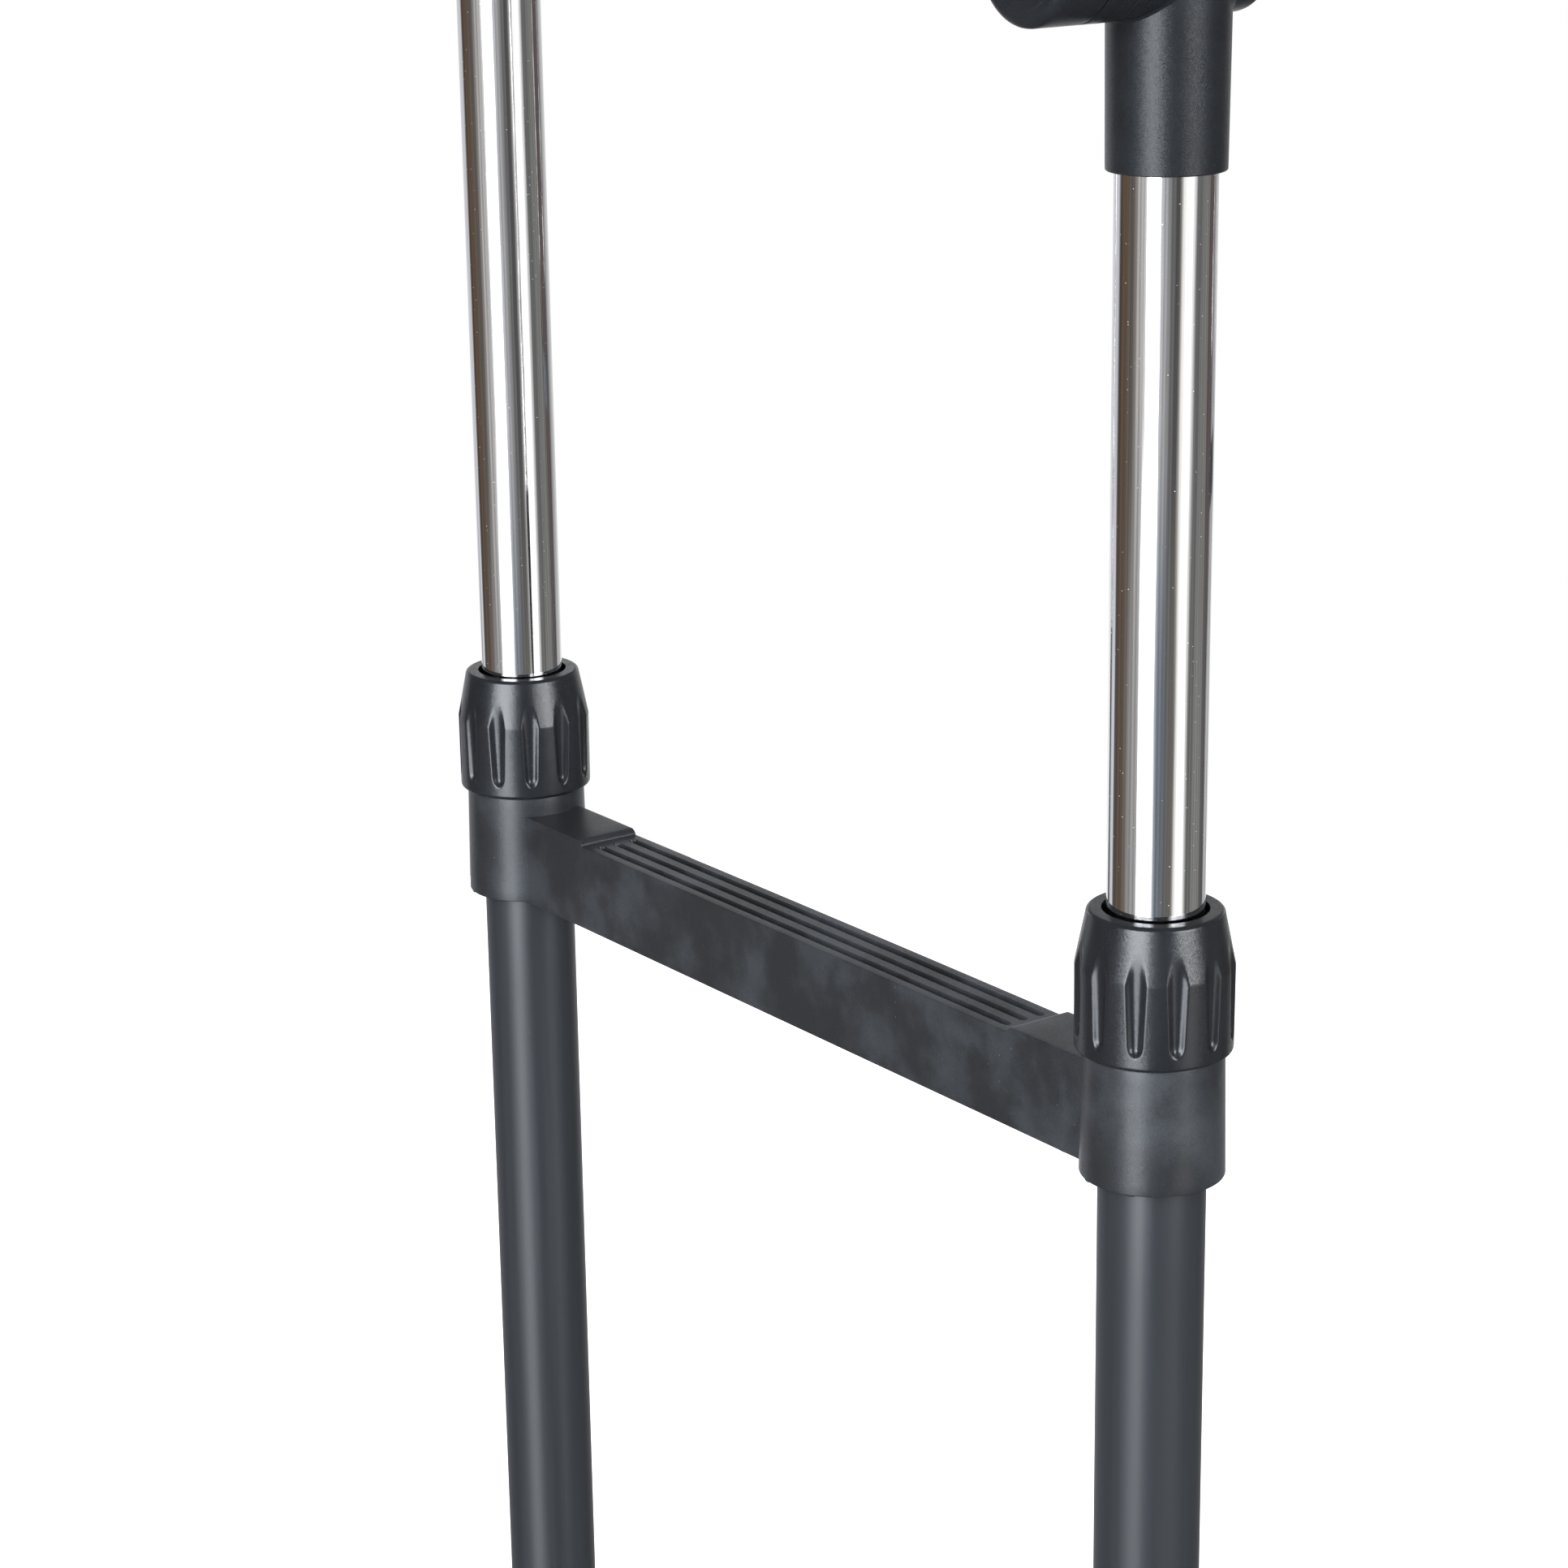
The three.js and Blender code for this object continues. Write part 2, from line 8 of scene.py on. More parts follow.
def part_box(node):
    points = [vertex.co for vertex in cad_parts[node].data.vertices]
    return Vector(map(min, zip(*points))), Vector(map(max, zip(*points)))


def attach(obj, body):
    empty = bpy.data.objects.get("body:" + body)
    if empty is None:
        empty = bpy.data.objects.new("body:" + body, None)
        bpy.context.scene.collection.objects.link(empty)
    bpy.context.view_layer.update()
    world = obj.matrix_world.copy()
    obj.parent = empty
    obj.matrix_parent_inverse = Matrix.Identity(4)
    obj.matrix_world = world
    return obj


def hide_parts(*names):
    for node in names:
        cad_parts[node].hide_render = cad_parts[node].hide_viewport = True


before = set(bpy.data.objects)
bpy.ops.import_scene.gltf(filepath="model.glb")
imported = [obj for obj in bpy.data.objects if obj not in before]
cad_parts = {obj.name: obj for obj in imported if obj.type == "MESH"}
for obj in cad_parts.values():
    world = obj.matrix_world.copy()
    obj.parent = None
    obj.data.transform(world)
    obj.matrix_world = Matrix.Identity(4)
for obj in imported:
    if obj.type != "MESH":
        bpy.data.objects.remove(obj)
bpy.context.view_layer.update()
print("frame loaded:", len(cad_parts), "nodes")

# Metres, +Z up. X runs along the rails, the low rail is at -Y, the high one at +Y.
sides = ("left", "right")
depths = ("front", "back")
posts = [f"{side}_{depth}" for side in sides for depth in depths]


def middleOf(node):
    low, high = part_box(node)
    return (low + high) / 2


postPlace = {post: middleOf(f"{post}_lower_tube") for post in posts}
seatGap = 0.0003  # between a collar and the joint line that it stands on
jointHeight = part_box("left_front_lock_collar")[0].z - seatGap
sideTurn = {"left": 0.0, "right": math.pi}


# Shape helpers

def unit(vector):
    return vector / np.linalg.norm(vector)


# A row of points with its corners rounded. At each corner an arc runs between the two points
# that lie radius / tan(half the corner's angle) along the sides.
def softened(points, radii, closed=True, steps=5):
    points = np.asarray(points, float)
    count = len(points)
    made = []
    for i, radius in enumerate(radii):
        here = points[i]
        if radius == 0 or (not closed and i in (0, count - 1)):
            made.append(here[None])
            continue
        back, on = unit(points[i - 1] - here), unit(points[(i + 1) % count] - here)
        halfAngle = math.acos(np.clip(back @ on, -1, 1)) / 2
        centre = here + unit(back + on) * radius / math.sin(halfAngle)
        start, end = ((here + way * radius / math.tan(halfAngle) - centre) / radius for way in (back, on))
        sweep = math.acos(np.clip(start @ end, -1, 1))
        share = np.linspace(0, 1, steps + 1)[:, None]
        arc = (np.sin((1 - share) * sweep) * start + np.sin(share * sweep) * end) / math.sin(sweep)
        made.append(centre + radius * arc)
    return np.concatenate(made)


# Extra points along the sides of a profile, so that no side is longer than the step.
def filled(points, step, closed=True):
    points = np.asarray(points, float)
    ahead = np.roll(points, -1, 0) if closed else np.vstack([points[1:], points[-1:]])
    lengths = np.linalg.norm(ahead - points, axis=1)
    counts = np.maximum(1, np.ceil(lengths / step).astype(int))
    if not closed:
        counts[-1] = 1
    which = np.repeat(np.arange(len(points)), counts)
    place = np.arange(len(which)) - np.repeat(np.cumsum(counts) - counts, counts)
    share = (place / counts[which])[:, None]
    return points[which] * (1 - share) + ahead[which] * share


# A profile with rounded corners and extra points
def softProfile(points, radii, step, closed=True, steps=5):
    return filled(softened(points, radii, closed, steps), step, closed)


def roundSteps(count):
    return np.arange(count) * 2 * math.pi / count


# Points round Z, each at its radius, angle and height
def roundZ(radius, angle, height):
    return np.stack(np.broadcast_arrays(radius * np.cos(angle), radius * np.sin(angle), height), -1)


# Surface of revolution: the profile point (radius, height) goes round Z in equal steps of angle.
def turned(profile, around=96):
    profile = np.asarray(profile, float)
    return roundZ(profile[:, :1], roundSteps(around), profile[:, 1:])


# The same points laid along X: height becomes X, the section stays round.
def alongX(grid):
    return np.stack([grid[..., 2], grid[..., 0], grid[..., 1]], -1)


# And along Y
def alongY(grid):
    return np.stack([grid[..., 1], grid[..., 2], grid[..., 0]], -1)


# Turns a grid about Z and moves it.
def moved(grid, place=(0, 0, 0), turn=0.0):
    c, s = math.cos(turn), math.sin(turn)
    spin = np.array([[c, -s, 0], [s, c, 0], [0, 0, 1]])
    return grid @ spin.T + np.asarray(place, float)


# Faces of a closed grid of rows by columns. The columns always close on themselves. The rows
# close as a loop, or each end gets a fan to its middle, or a band that joins opposite columns.
def shell(grid, ends="loop"):
    rows, columns = grid.shape[:2]
    points = grid.reshape(-1, 3)
    row = np.arange(rows if ends == "loop" else rows - 1)[:, None]
    column = np.arange(columns)[None]
    here, beside = row * columns + column, row * columns + (column + 1) % columns
    step = columns * ((row + 1) % rows)
    quads = np.stack([here, beside, step + (column + 1) % columns, step + column], -1).reshape(-1, 4)
    triangles = np.zeros((0, 3), int)
    if ends == "fan":
        points = np.vstack([points, grid[0].mean(0), grid[-1].mean(0)])
        first = np.arange(columns)
        after = (first + 1) % columns
        last = (rows - 1) * columns
        low = np.stack([after, first, np.full(columns, rows * columns)], -1)
        high = np.stack([last + first, last + after, np.full(columns, rows * columns + 1)], -1)
        triangles = np.vstack([low, high])
    if ends == "band":
        first = np.arange(columns // 2 - 1)
        across = columns - 1 - first
        low = np.stack([first + 1, first, across, across - 1], -1)
        high = (rows - 1) * columns + low[:, ::-1]
        quads = np.vstack([quads, low, high])
    a, b, c = points[quads[:, 0]], points[quads[:, 1]], points[quads[:, 2]]
    d = points[quads[:, 3]]
    volume = np.einsum("ij,ij->", a, np.cross(b, c)) + np.einsum("ij,ij->", a, np.cross(c, d))
    if len(triangles):
        a, b, c = (points[triangles[:, i]] for i in range(3))
        volume += np.einsum("ij,ij->", a, np.cross(b, c))
    if volume < 0:
        quads, triangles = quads[:, ::-1], triangles[:, ::-1]
    return points, quads, triangles


# One mesh out of closed shells
def meshOf(name, shells):
    points, faces, counts, base = [], [], [], 0
    for vertices, quads, triangles in shells:
        points.append(vertices)
        faces += [(quads + base).ravel(), (triangles + base).ravel()]
        counts += [np.full(len(quads), 4), np.full(len(triangles), 3)]
        base += len(vertices)
    points = np.vstack(points).astype(np.float32)
    corners = np.concatenate(faces).astype(np.int32)
    counts = np.concatenate(counts).astype(np.int32)
    mesh = bpy.data.meshes.new(name)
    mesh.vertices.add(len(points))
    mesh.vertices.foreach_set("co", points.ravel())
    mesh.loops.add(len(corners))
    mesh.loops.foreach_set("vertex_index", corners)
    mesh.polygons.add(len(counts))
    mesh.polygons.foreach_set("loop_start", (np.cumsum(counts) - counts).astype(np.int32))
    mesh.update(calc_edges=True)
    return mesh


def linked(name, data):
    made = bpy.data.objects.new(name, data)
    bpy.context.scene.collection.objects.link(made)
    return made


# One closed mesh out of grids that overlap: the first is joined with some and then cut by others, all
# turned and moved alike.
def carved(name, place, turn, first, joined, cut, ends="fan"):
    shells = [shell(moved(first, place, turn), ends)]
    shells += [shell(moved(grid, place, turn), "fan") for grid in (*joined, *cut)]
    solids = [linked(name, meshOf(name, [shape])) for shape in shells]
    for i, tool in enumerate(solids[1:]):
        step = solids[0].modifiers.new("carve", "BOOLEAN")
        step.operation = "UNION" if i < len(joined) else "DIFFERENCE"
        step.solver = "MANIFOLD"
        step.object = tool
    scene = bpy.context.evaluated_depsgraph_get()
    mesh = bpy.data.meshes.new_from_object(solids[0].evaluated_get(scene))
    for solid in solids:
        bpy.data.objects.remove(solid)
    return mesh


# Puts a mesh in the scene as one piece, ties it to its body and hides the nodes that it replaces.
def dressed(name, mesh, material, slot, body, *nodes, sharp=32.0):
    mesh.polygons.foreach_set("use_smooth", np.ones(len(mesh.polygons), bool))
    mesh.set_sharp_from_angle(angle=math.radians(sharp))
    mesh.materials.clear()
    mesh.materials.append(material)
    made = linked(name, mesh)
    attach(made, body)
    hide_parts(*nodes)
    return made


def piece(name, shells, material, slot, body, *nodes, sharp=32.0):
    return dressed(name, meshOf(name, shells), material, slot, body, *nodes, sharp=sharp)


# Material helpers

def opaque(colour):
    return (*colour, 1.0)


class Nodes:
    def __init__(self, tree):
        self.tree = tree
        tree.nodes.clear()

    def add(self, kind, inputs=None, **settings):
        node = self.tree.nodes.new("ShaderNode" + kind)
        for key, value in settings.items():
            setattr(node, key, value)
        for key, value in (inputs or {}).items():
            if isinstance(value, bpy.types.NodeSocket):
                self.tree.links.new(value, node.inputs[key])
            elif node.inputs[key].type == "RGBA":
                node.inputs[key].default_value = opaque(value)
            else:
                node.inputs[key].default_value = value
        return node

    def sums(self, operation, first, second=0.0, third=0.0):
        return self.add("Math", {0: first, 1: second, 2: third}, operation=operation).outputs[0]

    def vectors(self, operation, first, second=(0, 0, 0)):
        return self.add("VectorMath", {0: first, 1: second}, operation=operation).outputs[0]

    def scaled(self, vector, factor):
        return self.add("VectorMath", {0: vector, "Scale": factor}, operation="SCALE").outputs[0]

    # Value carried from one range to another, held at both ends
    def ranged(self, value, low, high, newLow=0.0, newHigh=1.0, smooth=True):
        kind = "SMOOTHSTEP" if smooth else "LINEAR"
        numbers = {"Value": value, "From Min": low, "From Max": high, "To Min": newLow, "To Max": newHigh}
        return self.add("MapRange", numbers, interpolation_type=kind).outputs["Result"]

    def mixed(self, share, first, second):
        return self.add("Mix", {0: share, 6: first, 7: second}, data_type="RGBA").outputs[2]

    # Noise on the object's own coordinates, with its grain stretched by the given factors
    def noise(self, scale, detail=2.0, rough=0.5, stretch=(1, 1, 1)):
        place = self.add("TexCoord").outputs["Object"]
        place = self.add("Mapping", {"Vector": place, "Scale": stretch}).outputs[0]
        numbers = {"Vector": place, "Scale": scale, "Detail": detail, "Roughness": rough}
        return self.add("TexNoise", numbers).outputs["Fac"]

    # Small cells on the same coordinates, each with a colour of its own
    def cells(self, scale):
        place = self.add("TexCoord").outputs["Object"]
        return self.add("TexVoronoi", {"Vector": place, "Scale": scale}, feature="F1").outputs

    # Round dots in a share of the cells. A dot fades from its core out to its rim.
    def dots(self, scale, share, rim, core):
        cell = self.cells(scale)
        chosen = self.sums("GREATER_THAN", cell["Color"], 1 - share)
        return self.sums("MULTIPLY", self.ranged(cell["Distance"], rim, core), chosen)

    def bump(self, height, strength, distance):
        return self.add("Bump", {"Height": height, "Strength": strength, "Distance": distance}).outputs[0]

    # The shader of a surface, with any other inputs by their own names
    def surface(self, colour, roughness, normal, others=None):
        inputs = {"Base Color": colour, "Roughness": roughness, "Normal": normal, **(others or {})}
        shader = self.add("BsdfPrincipled", inputs)
        self.add("OutputMaterial", {"Surface": shader.outputs[0]})


def newMaterial(name):
    material = bpy.data.materials.new(name)
    material.use_nodes = True
    return material, Nodes(material.node_tree)


# Stretches of a noise's value over which most colours and roughnesses change
colourSpan = (0.35, 0.70)
roughSpan = (0.30, 0.70)


# Charcoal plastic with a fine spark texture, cloudy handling marks and small light specks. The
# texture is made of small cells, and each leans its own way by up to half the grain's tilt.
def makePlastic(name, look):
    material, n = newMaterial(name)
    cloud = n.noise(look["cloudScale"], detail=6.0, rough=0.6)
    base = n.mixed(n.ranged(cloud, *look["cloudSpan"]), look["colour"], look["cloudColour"])
    mottle = n.noise(look["mottleScale"], detail=4.0, rough=0.7)
    light, dark = 1 + look["mottle"], 1 - look["mottle"]
    base = n.scaled(base, n.ranged(mottle, *look["mottleSpan"], dark, light, smooth=False))
    speck = n.dots(look["speckScale"], look["speckShare"], look["speckRim"], look["speckCore"])
    base = n.mixed(n.sums("MULTIPLY", speck, look["speckStrength"]), base, look["speckColour"])
    cloudRough = look["roughness"] + look["cloudRoughness"]
    roughness = n.ranged(cloud, *look["roughSpan"], look["roughness"], cloudRough)
    wave = n.bump(n.noise(look["waveScale"], detail=1.0), 1.0, look["waveHeight"])
    lean = n.vectors("SUBTRACT", n.cells(look["grainScale"])["Color"], (0.5, 0.5, 0.5))
    normal = n.vectors("NORMALIZE", n.vectors("ADD", wave, n.scaled(lean, look["grainTilt"])))
    n.surface(base, roughness, normal, {"Specular IOR Level": look["shine"]})
    return material


plasticLook = {
    "colour": (0.0135, 0.0155, 0.0190), "cloudColour": (0.0165, 0.0190, 0.0230), "cloudScale": 55.0,
    "cloudSpan": (0.40, 0.66), "roughness": 0.245, "cloudRoughness": 0.02, "roughSpan": (0.30, 0.75),
    "shine": 0.53, "grainScale": 6500.0, "grainTilt": 0.10, "waveScale": 420.0, "waveHeight": 0.00002,
    "mottleScale": 1600.0, "mottle": 0.14, "mottleSpan": (0.25, 0.75), "speckScale": 420.0,
    "speckShare": 0.03, "speckStrength": 0.3, "speckColour": (0.30, 0.31, 0.32),
    "speckRim": 0.10, "speckCore": 0.04,
}
barLook = {
    **plasticLook, "colour": (0.025, 0.0275, 0.0315), "cloudColour": (0.050, 0.0570, 0.066),
    "cloudScale": 42.0, "roughness": 0.32, "cloudRoughness": 0.05, "shine": 0.45, "mottle": 0.28,
    "speckShare": 0.14, "speckStrength": 0.5,
}
teeLook = {
    **plasticLook, "roughness": 0.33, "shine": 0.37, "grainTilt": 0.14, "mottle": 0.28, "speckShare": 0.10,
}
footLook = {**plasticLook, "roughness": 0.42, "cloudScale": 30.0}
collarPlastic = makePlastic("charcoal spark plastic", plasticLook)
barPlastic = makePlastic("charcoal bar plastic", barLook)
teePlastic = makePlastic("charcoal tee plastic", teeLook)
footPlastic = makePlastic("charcoal foot plastic", footLook)


# Plated tube: faint drawing lines along it, slow waves in its wall and specks of dust
def makeChrome(name, along, look):
    material, n = newMaterial(name)
    lines = n.noise(look["lineScale"], detail=3.0, rough=0.6, stretch=along)
    least = look["waveStretch"]
    waves = n.noise(look["waveScale"], detail=1.0, stretch=tuple(least + (1 - least) * a for a in along))
    dust = n.dots(look["dustScale"], look["dustShare"], look["dustRim"], look["dustCore"])
    lineHeight = n.sums("MULTIPLY", lines, look["lineHeight"])
    height = n.sums("ADD", lineHeight, n.sums("MULTIPLY", waves, look["waveHeight"]))
    lineRough = n.ranged(lines, *colourSpan, look["roughness"], look["lineRoughness"])
    roughness = n.sums("ADD", lineRough, n.sums("MULTIPLY", dust, look["dustRoughness"]))
    colour = n.mixed(n.ranged(lines, *look["lineSpan"]), look["colour"], look["lineColour"])
    metal = n.sums("MULTIPLY_ADD", dust, -look["dustStrength"], 1.0)
    n.surface(colour, roughness, n.bump(height, 1.0, look["bumpDistance"]), {"Metallic": metal})
    return material


chromeLook = {
    "colour": (0.86, 0.86, 0.87), "lineColour": (0.80, 0.80, 0.80), "lineSpan": (0.45, 0.75),
    "roughness": 0.045, "lineRoughness": 0.081, "lineScale": 1700.0, "waveScale": 60.0,
    "waveStretch": 0.25, "lineHeight": 0.02, "waveHeight": 0.25, "bumpDistance": 0.0004,
    "dustScale": 900.0, "dustShare": 0.22, "dustRim": 0.16, "dustCore": 0.06, "dustStrength": 0.7,
    "dustRoughness": 0.35,
}
postChrome = makeChrome("chrome post", (1, 1, 0.01), chromeLook)
railChrome = makeChrome("chrome rail", (0.01, 1, 1), chromeLook)


# Satin dark grey paint with slight orange peel and a few dust marks
def makePaint(name, along, look):
    material, n = newMaterial(name)
    streak = n.noise(look["streakScale"], detail=3.0, stretch=along)
    dust = n.ranged(n.noise(look["dustScale"], detail=1.0), look["dustFrom"], look["dustTo"])
    colour = n.mixed(n.ranged(streak, *colourSpan), look["colour"], look["streakColour"])
    colour = n.mixed(n.sums("MULTIPLY", dust, look["dustStrength"]), colour, look["dustColour"])
    roughness = n.ranged(streak, *roughSpan, look["roughness"], look["streakRoughness"])
    n.surface(colour, roughness, n.bump(n.noise(look["peelScale"]), look["peel"], look["peelDistance"]))
    return material


paintLook = {
    "colour": (0.026, 0.0300, 0.0360), "streakColour": (0.032, 0.0365, 0.0435), "streakScale": 260.0,
    "roughness": 0.36, "streakRoughness": 0.41, "peelScale": 900.0, "peel": 0.25, "peelDistance": 0.00006,
    "dustScale": 520.0, "dustFrom": 0.83, "dustTo": 0.88, "dustStrength": 0.35,
    "dustColour": (0.30, 0.31, 0.32),
}
postPaint = makePaint("grey tube paint", (1, 1, 0.02), paintLook)
stretcherPaint = makePaint("grey stretcher paint", (0.02, 1, 1), paintLook)


# Small parts in two close tones with a fine grain: the nylon of the collets, bushes and forks, and
# the zinc plated steel of the stems and axles
def makeSmallPartFinish(name, look):
    material, n = newMaterial(name)
    cloud = n.noise(look["cloudScale"])
    colour = n.mixed(n.ranged(cloud, *look["cloudSpan"]), look["colour"], look["cloudColour"])
    roughness = n.ranged(cloud, *roughSpan, look["roughness"], look["cloudRoughness"])
    grain = n.bump(n.noise(look["grainScale"]), look["grain"], look["grainDistance"])
    n.surface(colour, roughness, grain, {"Metallic": look["metal"]})
    return material


blackNylon = makeSmallPartFinish("black nylon", {
    "colour": (0.012, 0.012, 0.013), "cloudColour": (0.018, 0.018, 0.019), "cloudScale": 90.0,
    "cloudSpan": colourSpan, "roughness": 0.38, "cloudRoughness": 0.46, "grainScale": 2200.0,
    "grain": 0.3, "grainDistance": 0.0002, "metal": 0.0,
})
zincSteel = makeSmallPartFinish("zinc plated steel", {
    "colour": (0.46, 0.47, 0.48), "cloudColour": (0.60, 0.61, 0.62), "cloudScale": 400.0,
    "cloudSpan": (0.35, 0.65), "roughness": 0.32, "cloudRoughness": 0.44, "grainScale": 1800.0,
    "grain": 0.2, "grainDistance": 0.0001, "metal": 1.0,
})


# Castor wheel: a grey tread round a darker hub, told apart by the piece's own tone attribute
def makeWheelFinish(name, look):
    material, n = newMaterial(name)
    tone = n.add("Attribute", attribute_name="tone").outputs["Fac"]
    wear = n.noise(look["wearScale"], detail=3.0)
    tread = n.mixed(n.ranged(wear, *look["wearSpan"]), look["tread"], look["dusty"])
    colour = n.mixed(tone, look["hub"], tread)
    roughness = n.ranged(tone, 0.0, 1.0, look["hubRoughness"], look["treadRoughness"])
    n.surface(colour, roughness, n.bump(n.noise(look["grainScale"]), look["grain"], look["grainDistance"]))
    return material


wheelFinish = makeWheelFinish("castor wheel", {
    "tread": (0.085, 0.088, 0.092), "dusty": (0.12, 0.12, 0.12), "hub": (0.020, 0.020, 0.022),
    "wearScale": 160.0, "wearSpan": (0.4, 0.7), "grainScale": 1500.0, "grain": 0.3,
    "grainDistance": 0.0002, "treadRoughness": 0.7, "hubRoughness": 0.4,
})
print("materials made")


# Tubes, by their outer radii
tube = {
    "upper": 0.0125, "lower": 0.014, "rail": 0.014, "stretcher": 0.0125, "wall": 0.001,
    "edge": 0.0003, "edgeSteps": 3, "step": 0.06, "around": 112,
}


# Tube wall as a closed loop, turned: bore, low end, outside, high end, with small rounded edges
def makeTube(node, radius, material, slot, body, lengthwise=2):
    low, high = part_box(node)
    start, end, bore = low[lengthwise], high[lengthwise], radius - tube["wall"]
    loop = [(bore, start), (radius, start), (radius, end), (bore, end)]
    loop = softProfile(loop, [tube["edge"]] * len(loop), tube["step"], steps=tube["edgeSteps"])
    grid = turned(loop, tube["around"])
    if lengthwise == 0:
        grid = alongX(grid)
    middle = (low + high) / 2
    middle[lengthwise] = 0
    piece(f"{node}_round", [shell(moved(grid, middle))], material, slot, body, node)


for post in posts:
    depth = post.split("_")[1]
    makeTube(f"{post}_upper_tube", tube["upper"], postChrome, "chrome", f"{depth}_carriage")
    makeTube(f"{post}_lower_tube", tube["lower"], postPaint, "tube_paint", "base")
for depth in depths:
    makeTube(f"{depth}_rail", tube["rail"], railChrome, "chrome", f"{depth}_carriage", 0)
    makeTube(f"{depth}_stretcher", tube["stretcher"], stretcherPaint, "tube_paint", "base", 0)
print("tubes made")


# Lock collars
collar = {
    "radius": 0.0204, "lowRadius": 0.0203, "kink": 0.0230, "top": 0.0375, "rim": 0.01745,
    "hole": 0.0137, "bore": 0.0166, "land": 0.002, "wedge": 0.023, "rimEdge": 0.0011, "foot": 0.0003,
    "footEdge": 0.0011, "kinkRadius": 0.004, "innerEdges": (0.00025, 0.0002, 0.0003),
    "flutes": 12, "fluteWidth": 0.0053, "fluteTaper": 0.32, "fluteDepth": 0.0012, "fluteFoot": 0.0040,
    "fluteEnd": 0.0032, "fluteCurve": 2.5, "blend": 0.0005, "around": 36, "step": 0.00035,
    "innerStep": 0.002,
    "turns": {"left_front": 5.4, "left_back": 3.6, "right_front": 17.0, "right_back": 24.0},
}


# Fluted shell. Its outside is a revolved profile. The floor of a flute lies at the collar's radius less
# the depth, and rises from there by the depth times a power of (distance from its centre line / half
# its width). A flute narrows towards a long round foot. The skin is the smooth minimum of profile and
# floor, so the flutes' edges are soft.
def collarGrid(c):
    outside = softProfile([
        (c["bore"], c["foot"]), (c["lowRadius"], c["foot"]), (c["radius"], c["kink"]), (c["rim"], c["top"]),
        (c["hole"], c["top"]),
    ], [0, c["footEdge"], c["kinkRadius"], c["rimEdge"], 0], c["step"], closed=False, steps=8)
    inside = softProfile([
        (c["hole"], c["top"]), (c["hole"], c["top"] - c["land"]), (c["bore"], c["wedge"]),
        (c["bore"], c["foot"]),
    ], [*c["innerEdges"], 0], c["innerStep"], closed=False, steps=4)[:-1]
    columns = c["flutes"] * c["around"]
    grid = turned(np.vstack([outside[:-1], inside]), columns)
    count = len(outside) - 1
    radius, height = outside[:count, :1], outside[:count, 1:]
    pitch = 2 * math.pi / c["flutes"]
    angle = roundSteps(columns)
    aside = ((angle + pitch / 2) % pitch - pitch / 2)[None] * radius
    sunk = np.clip((c["kink"] - height) / (c["kink"] - c["fluteFoot"]), 0, 1)
    halfWidth = c["fluteWidth"] / 2 * (1 - c["fluteTaper"] * sunk)
    below = np.minimum(height - c["fluteFoot"] - c["fluteEnd"], 0) / c["fluteEnd"]
    away = np.hypot(aside / halfWidth, below)
    floor = c["radius"] - c["fluteDepth"] + c["fluteDepth"] * away ** c["fluteCurve"]
    near = np.maximum(c["blend"] - np.abs(radius - floor), 0) / c["blend"]
    skin = np.minimum(radius, floor) - near ** 2 * c["blend"] / 4
    skin = np.where(height < c["top"] - c["rimEdge"], skin, radius)
    grid[:count] = roundZ(skin, angle, height)
    return grid


collarShape = collarGrid(collar)
for post in posts:
    place = (postPlace[post].x, postPlace[post].y, jointHeight)
    grid = moved(collarShape, place, math.radians(collar["turns"][post]))
    piece(f"{post}_collar_fluted", [shell(grid)], collarPlastic, "grey_plastic", f"{post}_collar_ring",
          f"{post}_lock_collar", sharp=50.0)
print("lock collars made")


# Crossbars
bar = {
    "halfWidth": 0.0100, "top": -0.0075, "bottom": -0.0340, "arch": 0.00025, "edge": 0.0003,
    "lowEdge": 0.0005, "wall": 0.0026, "roof": 0.0030, "span": 0.300, "padStart": 0.1029,
    "padRise": 0.0017, "padLength": 0.0022, "grooves": 3, "pitch": 0.0057, "grooveWidth": 0.0027,
    "grooveDepth": 0.0015, "grooveEnd": 0.0991, "grooveWall": 0.00032, "floorShare": 0.7,
    "ridge": 0.126, "ridgeWidth": 0.0008, "ridgeHeight": 0.00012, "bend": 0.127, "end": 0.1305,
    "inSleeve": 0.0179, "plainStations": (0.004, 0.096, 16), "padStations": (0.112, 0.119),
}
sleeve = {
    "topRadius": 0.0182, "lowRadius": 0.0188, "height": 0.0335, "bore": 0.0143, "shoulder": 0.004,
    "neckRadius": 0.0161, "neckHeight": 0.020, "neckBore": 0.013, "edge": 0.0003, "topEdge": 0.00045,
    "step": 0.003, "around": 240, "flash": 0.00035, "flashFrom": 0.5, "flashReach": 0.00075,
    "flashWaves": ((7, 1.0, 0.6), (17, 0.7, 2.0), (31, 0.5, 0.0)),
}
rib = {"count": 3, "thickness": 0.002, "recess": 0.004}


def grooveCentres(b):
    return [(i - (b["grooves"] - 1) / 2) * b["pitch"] for i in range(b["grooves"])]


# Groove depth at every point: full inside a stadium of the groove's width and length, zero
# outside it, and a smooth step over the narrow wall between them
def grooveDepth(x, y, b):
    depth = np.zeros_like(x + y)
    radius = b["grooveWidth"] / 2
    beyond = np.maximum(np.abs(y) - b["grooveEnd"] + radius, 0)
    for centre in grooveCentres(b):
        share = np.clip((radius - np.hypot(x - centre, beyond)) / b["grooveWall"], 0, 1)
        depth += b["grooveDepth"] * share * share * (3 - 2 * share)
    return depth


